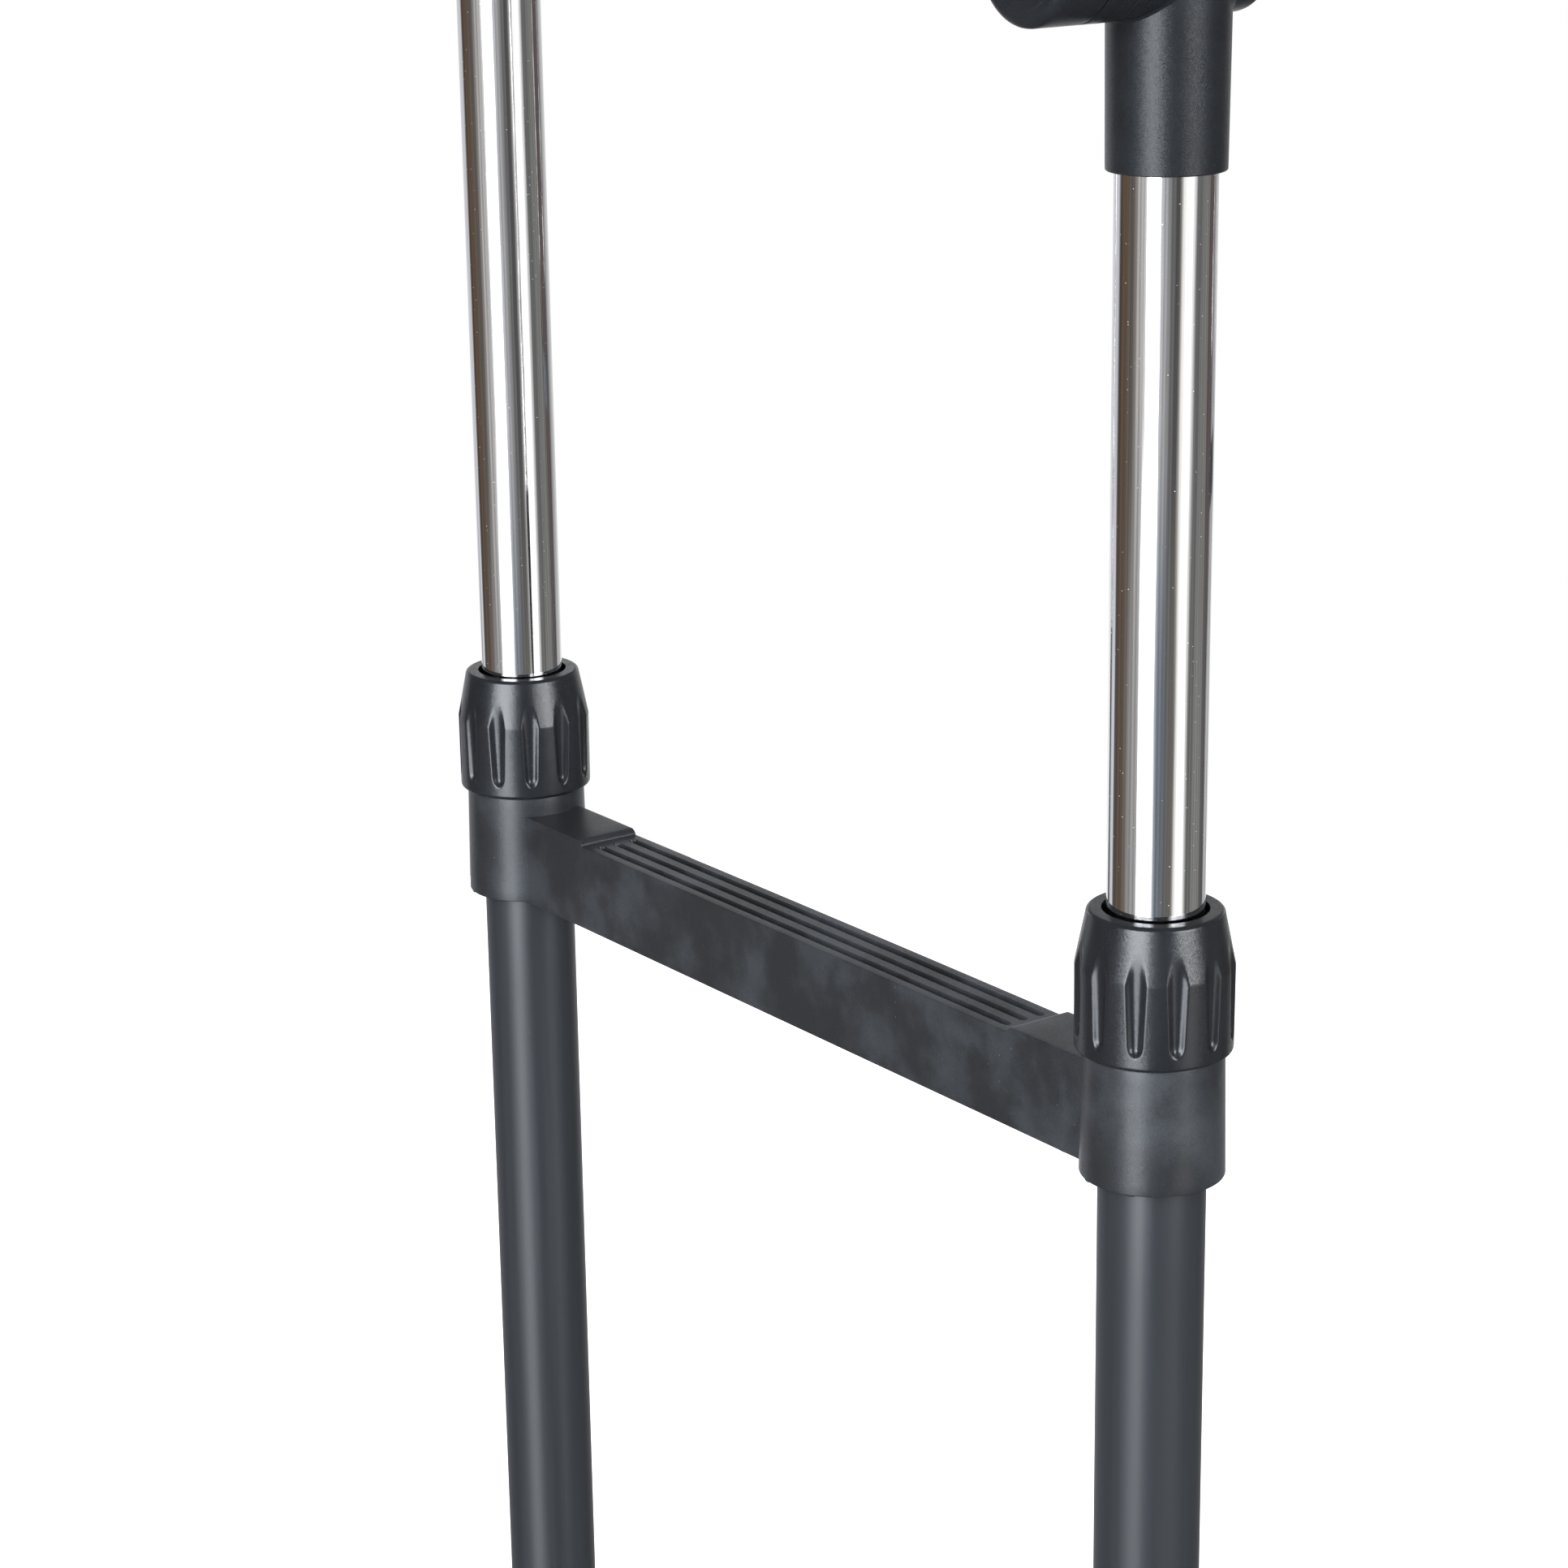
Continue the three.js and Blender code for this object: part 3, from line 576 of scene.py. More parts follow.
# Places along the bar: close together at the pads, the groove ends and the ridge
def barStations(b):
    pad = b["padStart"] + b["padLength"] * (1 - np.cos(np.linspace(0, math.pi / 2, 11)))
    grooveStart = b["grooveEnd"] - b["grooveWidth"] / 2 - b["grooveWall"]
    groove = np.linspace(grooveStart, b["grooveEnd"] + b["grooveWall"], 14)
    ridge = b["ridge"] + b["ridgeWidth"] * np.linspace(-2.5, 2.5, 11)
    plain = np.linspace(*b["plainStations"])
    half = np.concatenate([plain, groove, pad, b["padStations"], ridge, [b["end"]]])
    half = np.unique(np.round(half, 7))
    return np.concatenate([-half[::-1], half])


# Places across the bar's top: close together at the walls of the grooves
def topPlaces(b):
    flat = b["halfWidth"] - b["edge"]
    radius = b["grooveWidth"] / 2
    wall = np.linspace(0, b["grooveWall"], 5)
    floor = np.linspace(-b["floorShare"], b["floorShare"], 8) * radius
    places = [np.linspace(-flat, flat, 15)]
    for centre in grooveCentres(b):
        places += [centre - radius + wall, centre + radius - wall, centre + floor]
    return np.unique(np.round(np.concatenate(places), 7))


# Section of the bar. Outside: up one side, over the top and down the other. Inside: a channel with
# the same number of points. The other values tell which points are on the first side, on the top with
# its edges, and on the flat of the top.
def barSection(b):
    width, flat = b["halfWidth"], b["halfWidth"] - b["edge"]
    roof = b["top"] - b["roof"]
    arc = np.linspace(0, math.pi / 2, 7)
    low = b["lowEdge"] * np.stack([1 - np.sin(arc[:-1]), 1 - np.cos(arc[:-1])], -1) + [-width, b["bottom"]]
    side = np.linspace(b["bottom"] + b["lowEdge"], b["top"] - b["edge"], 12)
    up = np.vstack([low, np.stack([np.full(len(side), -width), side], -1)])
    over = b["edge"] * np.stack([-np.cos(arc[1:]), np.sin(arc[1:])], -1) + [-flat, b["top"] - b["edge"]]
    left = np.vstack([up, over])[:-1]
    topX = topPlaces(b)
    top = np.stack([topX, np.full(len(topX), b["top"])], -1)
    outer = np.vstack([left, top, left[::-1] * [-1, 1]])
    inner = np.array([(b["wall"] - width, b["bottom"]), (b["wall"] - width, roof),
                      (width - b["wall"], roof), (width - b["wall"], b["bottom"])])
    reach = np.concatenate([[0], np.cumsum(np.linalg.norm(np.diff(inner, axis=0), axis=1))])
    share = np.linspace(0, reach[-1], len(outer))
    lining = np.stack([np.interp(share, reach, places) for places in inner.T], -1)
    section = np.vstack([outer, lining[::-1]])
    point = np.arange(len(section))
    onSide = point < len(up)
    onRim = (point >= len(up)) & (point < len(outer) - len(up))
    onTop = (point >= len(left)) & (point < len(left) + len(top))
    return section, onSide, onRim, onTop


# The section carried along Y. The top has a slight arch, one less the square of the distance from the
# middle, and each pad rises from it as a quarter of an ellipse. The grooves are taken from the top. A
# faint ridge stands on the outer side by one sleeve, as a bell curve. The last rows bend to the round
# of the sleeve.
def barGrid(b):
    section, onSide, onRim, onTop = barSection(b)
    station = barStations(b)
    x, y, z = np.broadcast_arrays(section[:, 0], station[:, None], section[:, 1])
    away = np.abs(y)
    along = np.clip((away - b["padStart"]) / b["padLength"], 0, 1)
    rise = b["padRise"] * np.sqrt(1 - (1 - along) ** 2)
    arch = b["arch"] * np.clip(1 - (away / b["padStart"]) ** 2, 0, 1)
    z = z + np.where(onRim, rise + arch, 0) - np.where(onTop, grooveDepth(x, y, b), 0)
    ridge = b["ridgeHeight"] * np.exp(-((away - b["ridge"]) / b["ridgeWidth"]) ** 2)
    x = x - np.where(onSide & (y < 0), ridge, 0)
    bend = np.clip((away - b["bend"]) / (b["end"] - b["bend"]), 0, 1)
    reach = b["span"] / 2 - np.sqrt(b["inSleeve"] ** 2 - x ** 2)
    y = y + np.sign(y) * bend * (reach - away)
    return np.stack([x, y, z], -1)


# Sleeve with its neck: a closed profile turned about the post. A thin ragged line of flash hangs
# from the low rim, as a sum of sines of the angle that is cut off at zero. Each wave has its count
# round the sleeve, its size and its start.
def sleeveGrid(s):
    edge = s["edge"]
    loop = softProfile([
        (s["bore"], -s["height"]), (s["lowRadius"], -s["height"]), (s["topRadius"], 0), (s["neckRadius"], 0),
        (s["neckRadius"], s["neckHeight"]), (s["neckBore"], s["neckHeight"]), (s["neckBore"], -s["shoulder"]),
        (s["bore"], -s["shoulder"]),
    ], [0, edge, s["topEdge"], 0, edge, edge, 0, 0], s["step"], steps=4)
    grid = turned(loop, s["around"])
    angle = roundSteps(s["around"])
    ragged = sum(size * np.sin(count * angle + start) for count, size, start in s["flashWaves"])
    low = (loop[:, 1] < edge / 5 - s["height"]) & (loop[:, 0] > s["lowRadius"] - s["flashReach"])
    grid[low, :, 2] -= s["flash"] * np.clip(ragged - s["flashFrom"], 0, 1)
    return grid


# A plain box as a closed grid: four corners of its outline, low row and high row
def boxGrid(low, high):
    (x0, y0, z0), (x1, y1, z1) = low, high
    ring = np.array([(x0, y0), (x1, y0), (x1, y1), (x0, y1)])
    rows = [np.column_stack([ring, np.full(4, z)]) for z in (z0, z1)]
    return np.stack(rows)


barShape, sleeveShape = barGrid(bar), sleeveGrid(sleeve)
for side in sides:
    x = postPlace[f"{side}_front"].x
    turn = sideTurn[side]
    place = (x, 0, jointHeight)
    shells = [shell(moved(barShape, place, turn), "band")]
    for end in (-1, 1):
        shells.append(shell(moved(sleeveShape + [0, end * bar["span"] / 2, 0], place, turn)))
    inside = bar["halfWidth"] - bar["wall"] / 2
    pitch = (bar["span"] - 2 * sleeve["topRadius"]) / (rib["count"] + 1)
    for i in range(rib["count"]):
        y = (i - (rib["count"] - 1) / 2) * pitch
        low = (-inside, y - rib["thickness"] / 2, bar["bottom"] + rib["recess"])
        high = (inside, y + rib["thickness"] / 2, bar["top"] - bar["roof"] / 2)
        shells.append(shell(moved(boxGrid(low, high), place, turn), "fan"))
    piece(f"{side}_crossbar_moulded", shells, barPlastic, "grey_plastic", "base", f"{side}_crossbar")
print("crossbars made")


# Tees and rail caps
tee = {
    "footRadius": 0.01465, "topRadius": 0.0150, "bore": 0.0128, "axisRise": 0.052, "sunk": 0.0004,
    "barrelRadius": 0.0163, "barrelBore": 0.0143, "inner": 0.0195, "outer": 0.0295, "boreEdge": 0.0003,
    "innerEdge": 0.0012, "seamEdge": 0.0004, "rings": (0.016, 0.0205, 0.025), "ringWidth": 0.0010,
    "ringDepth": 0.00050, "ringEdge": 0.0001, "ringFloor": 0.0002, "fillet": 0.0012, "flare": 0.00072,
    "footEdge": 0.0004, "step": 0.004, "around": 160,
}
cap = {
    "radius": 0.0163, "head": 0.0155, "edge": 0.0024, "shank": 0.014, "shankRadius": 0.0127,
    "shankEdge": 0.0008, "core": 0.0107, "face": 0.0025, "dish": 0.0004, "dishRadius": 0.0125,
    "dishSlope": 0.0006, "dishEdge": 0.0003, "seamEdge": 0.0004, "middle": 0.0004, "gap": 0.0003,
    "step": 0.003, "innerStep": 0.004, "around": 128,
}


# Stand: a tapered tube whose top row lies on the barrel, at axis height less the root of the
# barrel's radius squared less y squared, with a small flare where they meet. Its rows lie closer
# together at both ends.
def standGrid(t):
    angle = roundSteps(t["around"])
    level = np.concatenate([[0, 0.0002, 0.0004], np.linspace(0.002, 1, 30) ** 0.8])[:, None]
    radius = t["footRadius"] + (t["topRadius"] - t["footRadius"]) * level
    barrel = t["barrelRadius"] - t["sunk"]
    meet = t["axisRise"] - np.sqrt(barrel ** 2 - (t["topRadius"] * np.sin(angle)) ** 2)[None]
    height = level * meet
    away = np.clip((meet - height) / t["fillet"], 0, 1)
    lowEdge = np.clip(1 - height / t["footEdge"], 0, 1)
    radius = radius + t["flare"] * (1 - away) ** 2 - t["footEdge"] * (1 - np.sqrt(1 - lowEdge ** 2))
    boreMeet = t["axisRise"] - np.sqrt(barrel ** 2 - (t["bore"] * np.sin(angle)) ** 2)
    bore = [roundZ(t["bore"], angle, rise)[None] for rise in (boreMeet, 0)]
    return np.concatenate([roundZ(radius, angle, height), *bore])


# Barrel: a closed profile turned about the rail, with fine moulded rings near its outer end
def barrelGrid(t):
    points = [(t["barrelBore"], -t["inner"]), (t["barrelRadius"], -t["inner"])]
    radii = [t["boreEdge"], t["innerEdge"]]
    halfRing = t["ringWidth"] / 2
    for place in t["rings"]:
        points += [(t["barrelRadius"], place - halfRing), (t["barrelRadius"] - t["ringDepth"], place),
                   (t["barrelRadius"], place + halfRing)]
        radii += [t["ringEdge"], t["ringFloor"], t["ringEdge"]]
    points += [(t["barrelRadius"], t["outer"]), (t["barrelBore"], t["outer"])]
    radii += [t["seamEdge"], t["boreEdge"]]
    loop = softProfile(points, radii, t["step"], steps=4)
    return alongX(turned(loop, t["around"])) * [-1, 1, 1] + [0, 0, t["axisRise"]]


# Cap: a plug in the rail, and a head with a full round edge and a slightly dished face
def capGrid(c):
    floor, face = c["head"] - c["dish"], c["head"] - c["face"]
    outside = softProfile([
        (c["core"], -c["shank"]), (c["shankRadius"], -c["shank"]), (c["shankRadius"], c["gap"]),
        (c["radius"], c["gap"]), (c["radius"], c["head"]), (c["dishRadius"], c["head"]),
        (c["dishRadius"] - c["dishSlope"], floor), (c["middle"], floor),
    ], [0, c["shankEdge"], 0, c["seamEdge"], c["edge"], c["dishEdge"], c["dishEdge"], 0],
        c["step"], closed=False, steps=6)
    inside = [(c["middle"], face), (c["core"], face), (c["core"], -c["shank"])]
    lining = filled(inside, c["innerStep"], closed=False)[:-1]
    return alongX(turned(np.vstack([outside, lining]), c["around"])) * [-1, 1, 1]


standShape, barrelShape, capShape = standGrid(tee), barrelGrid(tee), capGrid(cap)
for post in posts:
    side, depth = post.split("_")
    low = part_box(f"{post}_tee")[0]
    place = (postPlace[post].x, postPlace[post].y, low.z)
    turn = sideTurn[side]
    shells = [shell(moved(standShape, place, turn)), shell(moved(barrelShape, place, turn))]
    piece(f"{post}_tee_moulded", shells, teePlastic, "grey_plastic", f"{depth}_carriage", f"{post}_tee")
    shells = [shell(moved(capShape + [-tee["outer"], 0, tee["axisRise"]], place, turn))]
    piece(f"{post}_cap_round", shells, teePlastic, "grey_plastic", f"{depth}_carriage", f"{post}_rail_cap")
print("tees and caps made")


# Feet
foot = {
    "halfWidth": 0.017, "halfLength": 0.220, "height": 0.032, "wall": 0.003, "corner": 0.011,
    "leastCorner": 0.00024, "cornerShare": 0.9, "endFrom": 0.06, "edge": 0.0045, "lip": 0.0004,
    "skirtFrom": 0.25, "noseLength": 0.066, "noseDrop": 0.013, "spine": 0.0006, "rib": 0.003,
    "socketRadius": 0.0183, "socketDraft": 0.0005, "socketHeight": 0.054, "socketEdge": 0.0012,
    "socketBore": 0.0143, "socketFloor": 0.004, "armRadius": 0.0152, "armBore": 0.0128,
    "armReach": 0.046, "armDepth": 0.040, "armEdge": 0.0008, "bossRadius": 0.0087,
    "bossBore": 0.0053, "bossBoreHeight": 0.0203, "bossHeight": 0.0214, "overrun": 0.001,
}


# Outline of the foot at a given inset, first up the right side and then back down the left one: a
# rectangle whose corners have a radius of their own less the inset. Half of it mirrors the other.
def footRing(f, inset):
    width, length = f["halfWidth"] - inset, f["halfLength"] - inset
    corner = min(max(f["corner"] - inset, f["leastCorner"]), width * f["cornerShare"])
    arc = np.linspace(0, math.pi / 2, 9)
    end = np.linspace(f["endFrom"], 1, 4)[:, None] * [width - corner, 0] + [0, -length]
    low = np.stack([width - corner + corner * np.sin(arc), -length + corner - corner * np.cos(arc)], -1)
    along = np.linspace(-1, 1, 84)[1:-1, None] * [0, length - corner] + [width, 0]
    right = np.vstack([end[:-1], low, along, low[::-1] * [1, -1], end[-2::-1] * [1, -1]])
    return np.vstack([right, right[::-1] * [-1, 1]])


# Tray of the foot, open underneath. Its top is flat and falls over each castor by the nose's drop, as
# a smooth step. From its middle the rows go out over the top, round the edge, down, in and back
# underneath.
def footTray(f):
    edge, inner = f["edge"], f["halfWidth"] - f["spine"]
    arc = np.linspace(0, math.pi / 2, 9)
    insets = [np.linspace(inner, edge, 5), edge - edge * np.sin(arc[1:]), np.zeros(4), [f["lip"]],
              np.full(5, f["wall"]), np.linspace(f["wall"], inner, 5)[1:]]
    drops = [np.zeros(5), edge - edge * np.cos(arc[1:]), np.full(4, edge), [edge],
             np.full(5, f["wall"]), np.full(4, f["wall"])]
    lows = [np.zeros(13), np.linspace(f["skirtFrom"], 1, 4), [1], np.linspace(1, 0, 5), np.zeros(4)]
    insets, drops, lows = np.concatenate(insets), np.concatenate(drops), np.concatenate(lows)
    rings = np.stack([footRing(f, inset) for inset in insets])
    y = np.abs(rings[..., 1])
    share = np.clip((y - f["halfLength"] + f["noseLength"]) / f["noseLength"], 0, 1)
    top = f["height"] - f["noseDrop"] * share * share * (3 - 2 * share)
    z = (top - drops[:, None]) * (1 - lows[:, None])
    return np.dstack([rings, z])


# Rod about Z with chamfered ends, as a grid without its ends
def solidRod(radius, low, high, edge=0.0, around=96):
    profile = [(radius - edge, low), (radius, low + edge), (radius, high - edge), (radius - edge, high)]
    return turned(profile if edge else profile[1:3], around)


# Tray, ribs, arms, sockets and bosses joined, then bored for the tubes and the castor stems
def footMesh(name, f, place, turn, rackDepth, armSpacing, castorDepth):
    height, half, beyond = f["height"] + f["socketHeight"], f["rib"] / 2, f["overrun"]
    socket = turned(softened([
        (f["socketRadius"] + f["socketDraft"], 0), (f["socketRadius"], height),
        (f["socketBore"] - beyond, height),
    ], [0, f["socketEdge"], 0], closed=False))
    arm = alongX(solidRod(f["armRadius"], f["wall"] - f["halfWidth"], f["armReach"], f["armEdge"]))
    boss = solidRod(f["bossRadius"], 0, f["bossHeight"])
    armBore = alongX(solidRod(f["armBore"], f["armReach"] - f["armDepth"], f["armReach"] + beyond))
    socketBore = solidRod(f["socketBore"], f["socketFloor"], height + beyond)
    bossBore = solidRod(f["bossBore"], -beyond, f["bossBoreHeight"])
    ribPlace = armSpacing + f["armRadius"] + f["rib"]
    inside, ribTop = f["halfWidth"] - f["wall"] / 2, f["height"] - f["wall"] / 2
    joined = [boxGrid((-inside, y - half, f["rib"]), (inside, y + half, ribTop))
              for y in (-ribPlace, 0, ribPlace)]
    cut = []
    for end in (-1, 1):
        atArm = [0, end * armSpacing, f["height"] / 2]
        atPost, atCastor = [0, end * rackDepth, 0], [0, end * castorDepth, 0]
        joined += [arm + atArm, socket + atPost, boss + atCastor]
        cut += [armBore + atArm, socketBore + atPost, bossBore + atCastor]
    return carved(name, place, turn, footTray(f), joined, cut, "band")


for side in sides:
    node = f"{side}_foot"
    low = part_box(node)[0]
    front = postPlace[f"{side}_front"]
    castorDepth = abs(middleOf(f"{side}_front_castor_stem").y)
    armSpacing = abs(middleOf("front_stretcher").y)
    turn = sideTurn[side]
    mesh = footMesh(f"{node}_moulded", foot, (front.x, 0, low.z), turn, abs(front.y), armSpacing, castorDepth)
    dressed(f"{node}_moulded", mesh, footPlastic, "grey_plastic", "base", node)
print("feet made")


# Castors
fork = {
    "halfWidth": 0.014, "edge": 0.0016, "cheek": 0.009, "hood": 0.0305, "neck": 0.014, "plate": 0.005,
    "well": 0.0275, "wellHalf": 0.010, "wellAround": 144, "axleBore": 0.0043, "stemBore": 0.0053,
    "socket": 0.0103, "neckEdge": 0.0008, "back": 0.0125, "corner": 0.002, "step": 0.002,
    "overrun": 0.001, "cheekTurns": (0.54, 0.96), "backShares": (0.6, 1.6), "aheadShare": 0.95,
}


# Side view of the fork in X and Z, trailing to -X: a round cheek on the axle, the hood's arc over the
# wheel, and a straight back to the neck
def forkOutline(f, trail, axis, top):
    cheek = 2 * math.pi * np.linspace(*f["cheekTurns"], 15)
    hood = np.linspace(math.asin(f["cheek"] / f["hood"]), math.pi / 2, 21)
    arcs = [radius * np.stack([np.cos(angle), np.sin(angle)], -1) + [trail, axis]
            for radius, angle in ((f["cheek"], cheek), (f["hood"], hood))]
    arcs.append([(-f["back"], top - f["plate"] * share) for share in f["backShares"]])
    radii = np.concatenate([np.zeros(15), [f["corner"]], np.zeros(20), [f["corner"], f["corner"] / 2]])
    return softProfile(np.vstack(arcs), radii, f["step"]) * [-1, 1]


# The outline carried across, drawn in along its own normals by a quarter round at both sides. Ahead
# of the swivel axis its half width is that of a circle as wide as the fork.
def forkBody(f, outline):
    ahead = np.roll(outline, -1, 0) - np.roll(outline, 1, 0)
    normal = np.stack([ahead[:, 1], -ahead[:, 0]], -1)
    normal /= np.linalg.norm(normal, axis=1)[:, None]
    turning = outline[:, 0] @ np.roll(outline[:, 1], -1) - outline[:, 1] @ np.roll(outline[:, 0], -1)
    normal *= np.sign(turning)
    arc = np.linspace(0, math.pi / 2, 7)
    inset = f["edge"] * (1 - np.sin(arc))
    y = -f["halfWidth"] + f["edge"] * (1 - np.cos(arc))
    y, inset = np.concatenate([y, -y[::-1]]), np.concatenate([inset, inset[::-1]])
    flat = outline[None] - inset[:, None, None] * normal[None]
    narrowing = np.sqrt(1 - np.clip(flat[..., 0] / f["halfWidth"], 0, f["aheadShare"]) ** 2)
    return np.stack([flat[..., 0], y[:, None] * narrowing, flat[..., 1]], -1)


# Body and neck joined, then cut for the wheel, the axle and the stem
def forkMesh(name, f, place, turn, trail, axis, top):
    neck = solidRod(f["neck"], axis + f["hood"] - f["plate"], top, f["neckEdge"])
    well = alongY(solidRod(f["well"], -f["wellHalf"], f["wellHalf"], around=f["wellAround"]))
    axleBore = alongY(solidRod(f["axleBore"], -2 * f["halfWidth"], 2 * f["halfWidth"]))
    stemBore = solidRod(f["stemBore"], top - f["socket"], top + f["overrun"])
    atWheel = [-trail, 0, axis]
    body = forkBody(f, forkOutline(f, trail, axis, top))
    return carved(name, place, turn, body, [neck], [well + atWheel, axleBore + atWheel, stemBore])


wheel = {
    "halfWidth": 0.009, "tyre": 0.0055, "crown": 0.0006, "shoulder": 0.0022, "step": 0.0004,
    "rimWidth": 0.0020, "recess": 0.0036, "hub": 0.0078, "hubDraft": 0.0005, "rimDraft": 0.0004,
    "rimEdge": 0.0003, "seam": 0.0001, "bore": 0.0043, "edge": 0.0005, "spacing": 0.0016, "around": 144,
    "spokes": 8, "spokeWidth": 0.0016, "spokeInset": 0.0012, "spokeSunk": 0.0005,
}


# Wheel about Z: hub, web, rim and a crowned tyre, as one closed profile that mirrors itself. The
# second value tells which of its points are on the tyre.
def wheelProfile(w, radius):
    rim, side = radius - w["tyre"], w["halfWidth"]
    web, inner = side - w["recess"], radius - w["tyre"] - w["rimWidth"]
    half = softProfile([
        (w["bore"], 0), (w["bore"], side), (w["hub"], side), (w["hub"] + w["hubDraft"], web),
        (inner, web), (inner + w["rimDraft"], side - w["step"]), (rim, side - w["step"]),
        (rim + w["seam"], side), (radius - w["crown"], side), (radius, 0),
    ], [0, *[w["edge"]] * 4, w["rimEdge"], 0, 0, w["shoulder"], 0], w["spacing"], closed=False)
    loop = np.vstack([half, half[-2:0:-1] * [1, -1]])
    return loop, loop[:, 0] > rim + w["seam"] / 2


def spokeGrids(w, radius):
    aside, level = w["spokeWidth"] / 2, w["halfWidth"] - w["spokeInset"]
    low = (w["hub"] - w["spokeSunk"], -aside, -level)
    high = (radius - w["tyre"] - w["rimWidth"] / 2, aside, level)
    return [moved(boxGrid(low, high), turn=i * 2 * math.pi / w["spokes"]) for i in range(w["spokes"])]


axle = {"radius": 0.004, "halfLength": 0.0139, "dome": 0.0006, "domeStart": 0.35, "around": 48}


# Axle with domed ends: an end's radius is a sine, and its drop is one less a cosine
def axleGrid(a):
    rise = np.linspace(0, 1, 6)[:-1]
    radius = a["radius"] * np.sin(a["domeStart"] + rise * (math.pi / 2 - a["domeStart"]))
    height = a["halfLength"] - a["dome"] * (1 - np.cos(rise * math.pi / 2))
    end = np.stack([radius, height], -1)
    return turned(np.vstack([end * [1, -1], end[::-1]]), a["around"])


for post in posts:
    side = post.split("_")[0]
    stem, centre = middleOf(f"{post}_castor_stem"), middleOf(f"{post}_castor_wheel")
    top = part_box(f"{post}_castor_fork")[1].z
    turn = sideTurn[side]
    swivel = (stem.x, stem.y, 0)
    mesh = forkMesh(f"{post}_fork_moulded", fork, swivel, turn, abs(centre.x - stem.x), centre.z, top)
    dressed(f"{post}_fork_moulded", mesh, blackNylon, "nylon", f"{post}_castor", f"{post}_castor_fork")
    loop, onTyre = wheelProfile(wheel, centre.z)
    shells = [shell(moved(alongY(turned(loop, wheel["around"])), centre))]
    shells += [shell(moved(alongY(grid), centre), "fan") for grid in spokeGrids(wheel, centre.z)]
    made = piece(f"{post}_wheel_round", shells, wheelFinish, "wheel_tread", f"{post}_wheel",
                 f"{post}_castor_wheel")
    tones = np.zeros(len(made.data.vertices), np.float32)
    tones[:len(loop) * wheel["around"]] = np.repeat(onTyre, wheel["around"])
    made.data.attributes.new("tone", "FLOAT", "POINT").data.foreach_set("value", tones)
    ends = shell(moved(alongY(axleGrid(axle)), centre), "fan")
    piece(f"{post}_axle_round", [ends], zincSteel, "zinc_steel", f"{post}_castor", f"{post}_castor_axle")
print("castors made")


# Nodes that keep their own shape get a real finish
for post in posts:
    for kind, material in (("collet", blackNylon), ("guide_bush", blackNylon), ("castor_stem", zincSteel)):
        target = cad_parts[f"{post}_{kind}"]
        target.data.materials.clear()
        target.data.materials.append(material)


# Stage
stage = {
    "radius": 2.6, "thickness": 0.01, "innerRing": 0.02, "rings": 12, "around": 96,
    "floorColour": (0.82, 0.82, 0.82), "glow": 0.42, "farGlow": 1.1, "nearTo": 0.65, "farFrom": 1.15,
}


# Floor: a thin round sheet. It also glows, for the camera only, and more so away from the object.
def makeFloor(s):
    ring = s["radius"] * np.linspace(s["innerRing"], 1, s["rings"])[:, None]
    top = roundZ(ring, roundSteps(s["around"]), 0)
    under = top[::-1] - [0, 0, s["thickness"]]
    mesh = meshOf("floor", [shell(np.concatenate([top, under]), "fan")])
    mesh.shade_flat()
    floor = linked("floor", mesh)
    floor.visible_glossy = False  # the studio's low bands stand in for it in the metal
    material, n = newMaterial("pale floor")
    path = n.add("LightPath")
    place = n.add("TexCoord").outputs["Object"]
    away = n.add("VectorMath", {0: place}, operation="LENGTH").outputs["Value"]
    far = n.ranged(away, s["nearTo"], s["farFrom"], s["glow"], s["farGlow"])
    seen = n.sums("MULTIPLY", path.outputs["Is Camera Ray"], far)
    glow = n.add("Emission", {"Color": (1, 1, 1), "Strength": seen})
    matt = n.add("BsdfDiffuse", {"Color": s["floorColour"]})
    both = n.add("AddShader", {0: matt.outputs[0], 1: glow.outputs[0]})
    n.add("OutputMaterial", {"Surface": both.outputs[0]})
    mesh.materials.append(material)


makeFloor(stage)

# Studio that the metal shows, as upright bands round the horizon. Angles run from +X towards +Y.
# Each band: one angle, or the two that it runs between, and its brightness in red, green and blue.
bands = {
    "back of the pale side": (-180, (0.46, 0.46, 0.46)),
    "left softbox edge": (-172, (0.80, 0.80, 0.80)),
    "left softbox": (-168, -146, (7.2, 7.5, 7.8)),
    "left softbox shade": (-141, (0.90, 0.92, 0.96)),
    "light stand": (-134, -125, (0.37, 0.37, 0.375)),
    "lamp foot": (-119, -114, (0.170, 0.170, 0.168)),
    "dark corner": (-108, -100, (0.088, 0.085, 0.086)),
    "front softbox edge": (-92, (0.84, 0.82, 0.78)),
    "front softbox": (-84, -69, (1.30, 1.30, 1.28)),
    "front softbox shade": (-64, (0.86, 0.86, 0.86)),
    "screen edge": (-57, -46, (0.150, 0.150, 0.150)),
    "grey wall": (-36, -23, (0.208, 0.208, 0.198)),
    "far wall": (-13, 1, (0.110, 0.086, 0.084)),
    "white sweep": (15, (0.47, 0.47, 0.47)),
    "white wall": (58, (0.84, 0.85, 0.86)),
    "sweep edge": (76, 103, (0.67, 0.67, 0.71)),
    "dark line": (113, (0.048, 0.046, 0.050)),
    "brown door": (121, 138, (0.122, 0.084, 0.060)),
    "brown shade": (143, 157, (0.126, 0.110, 0.096)),
    "pale side": (167, 180, (0.43, 0.42, 0.41)),
}
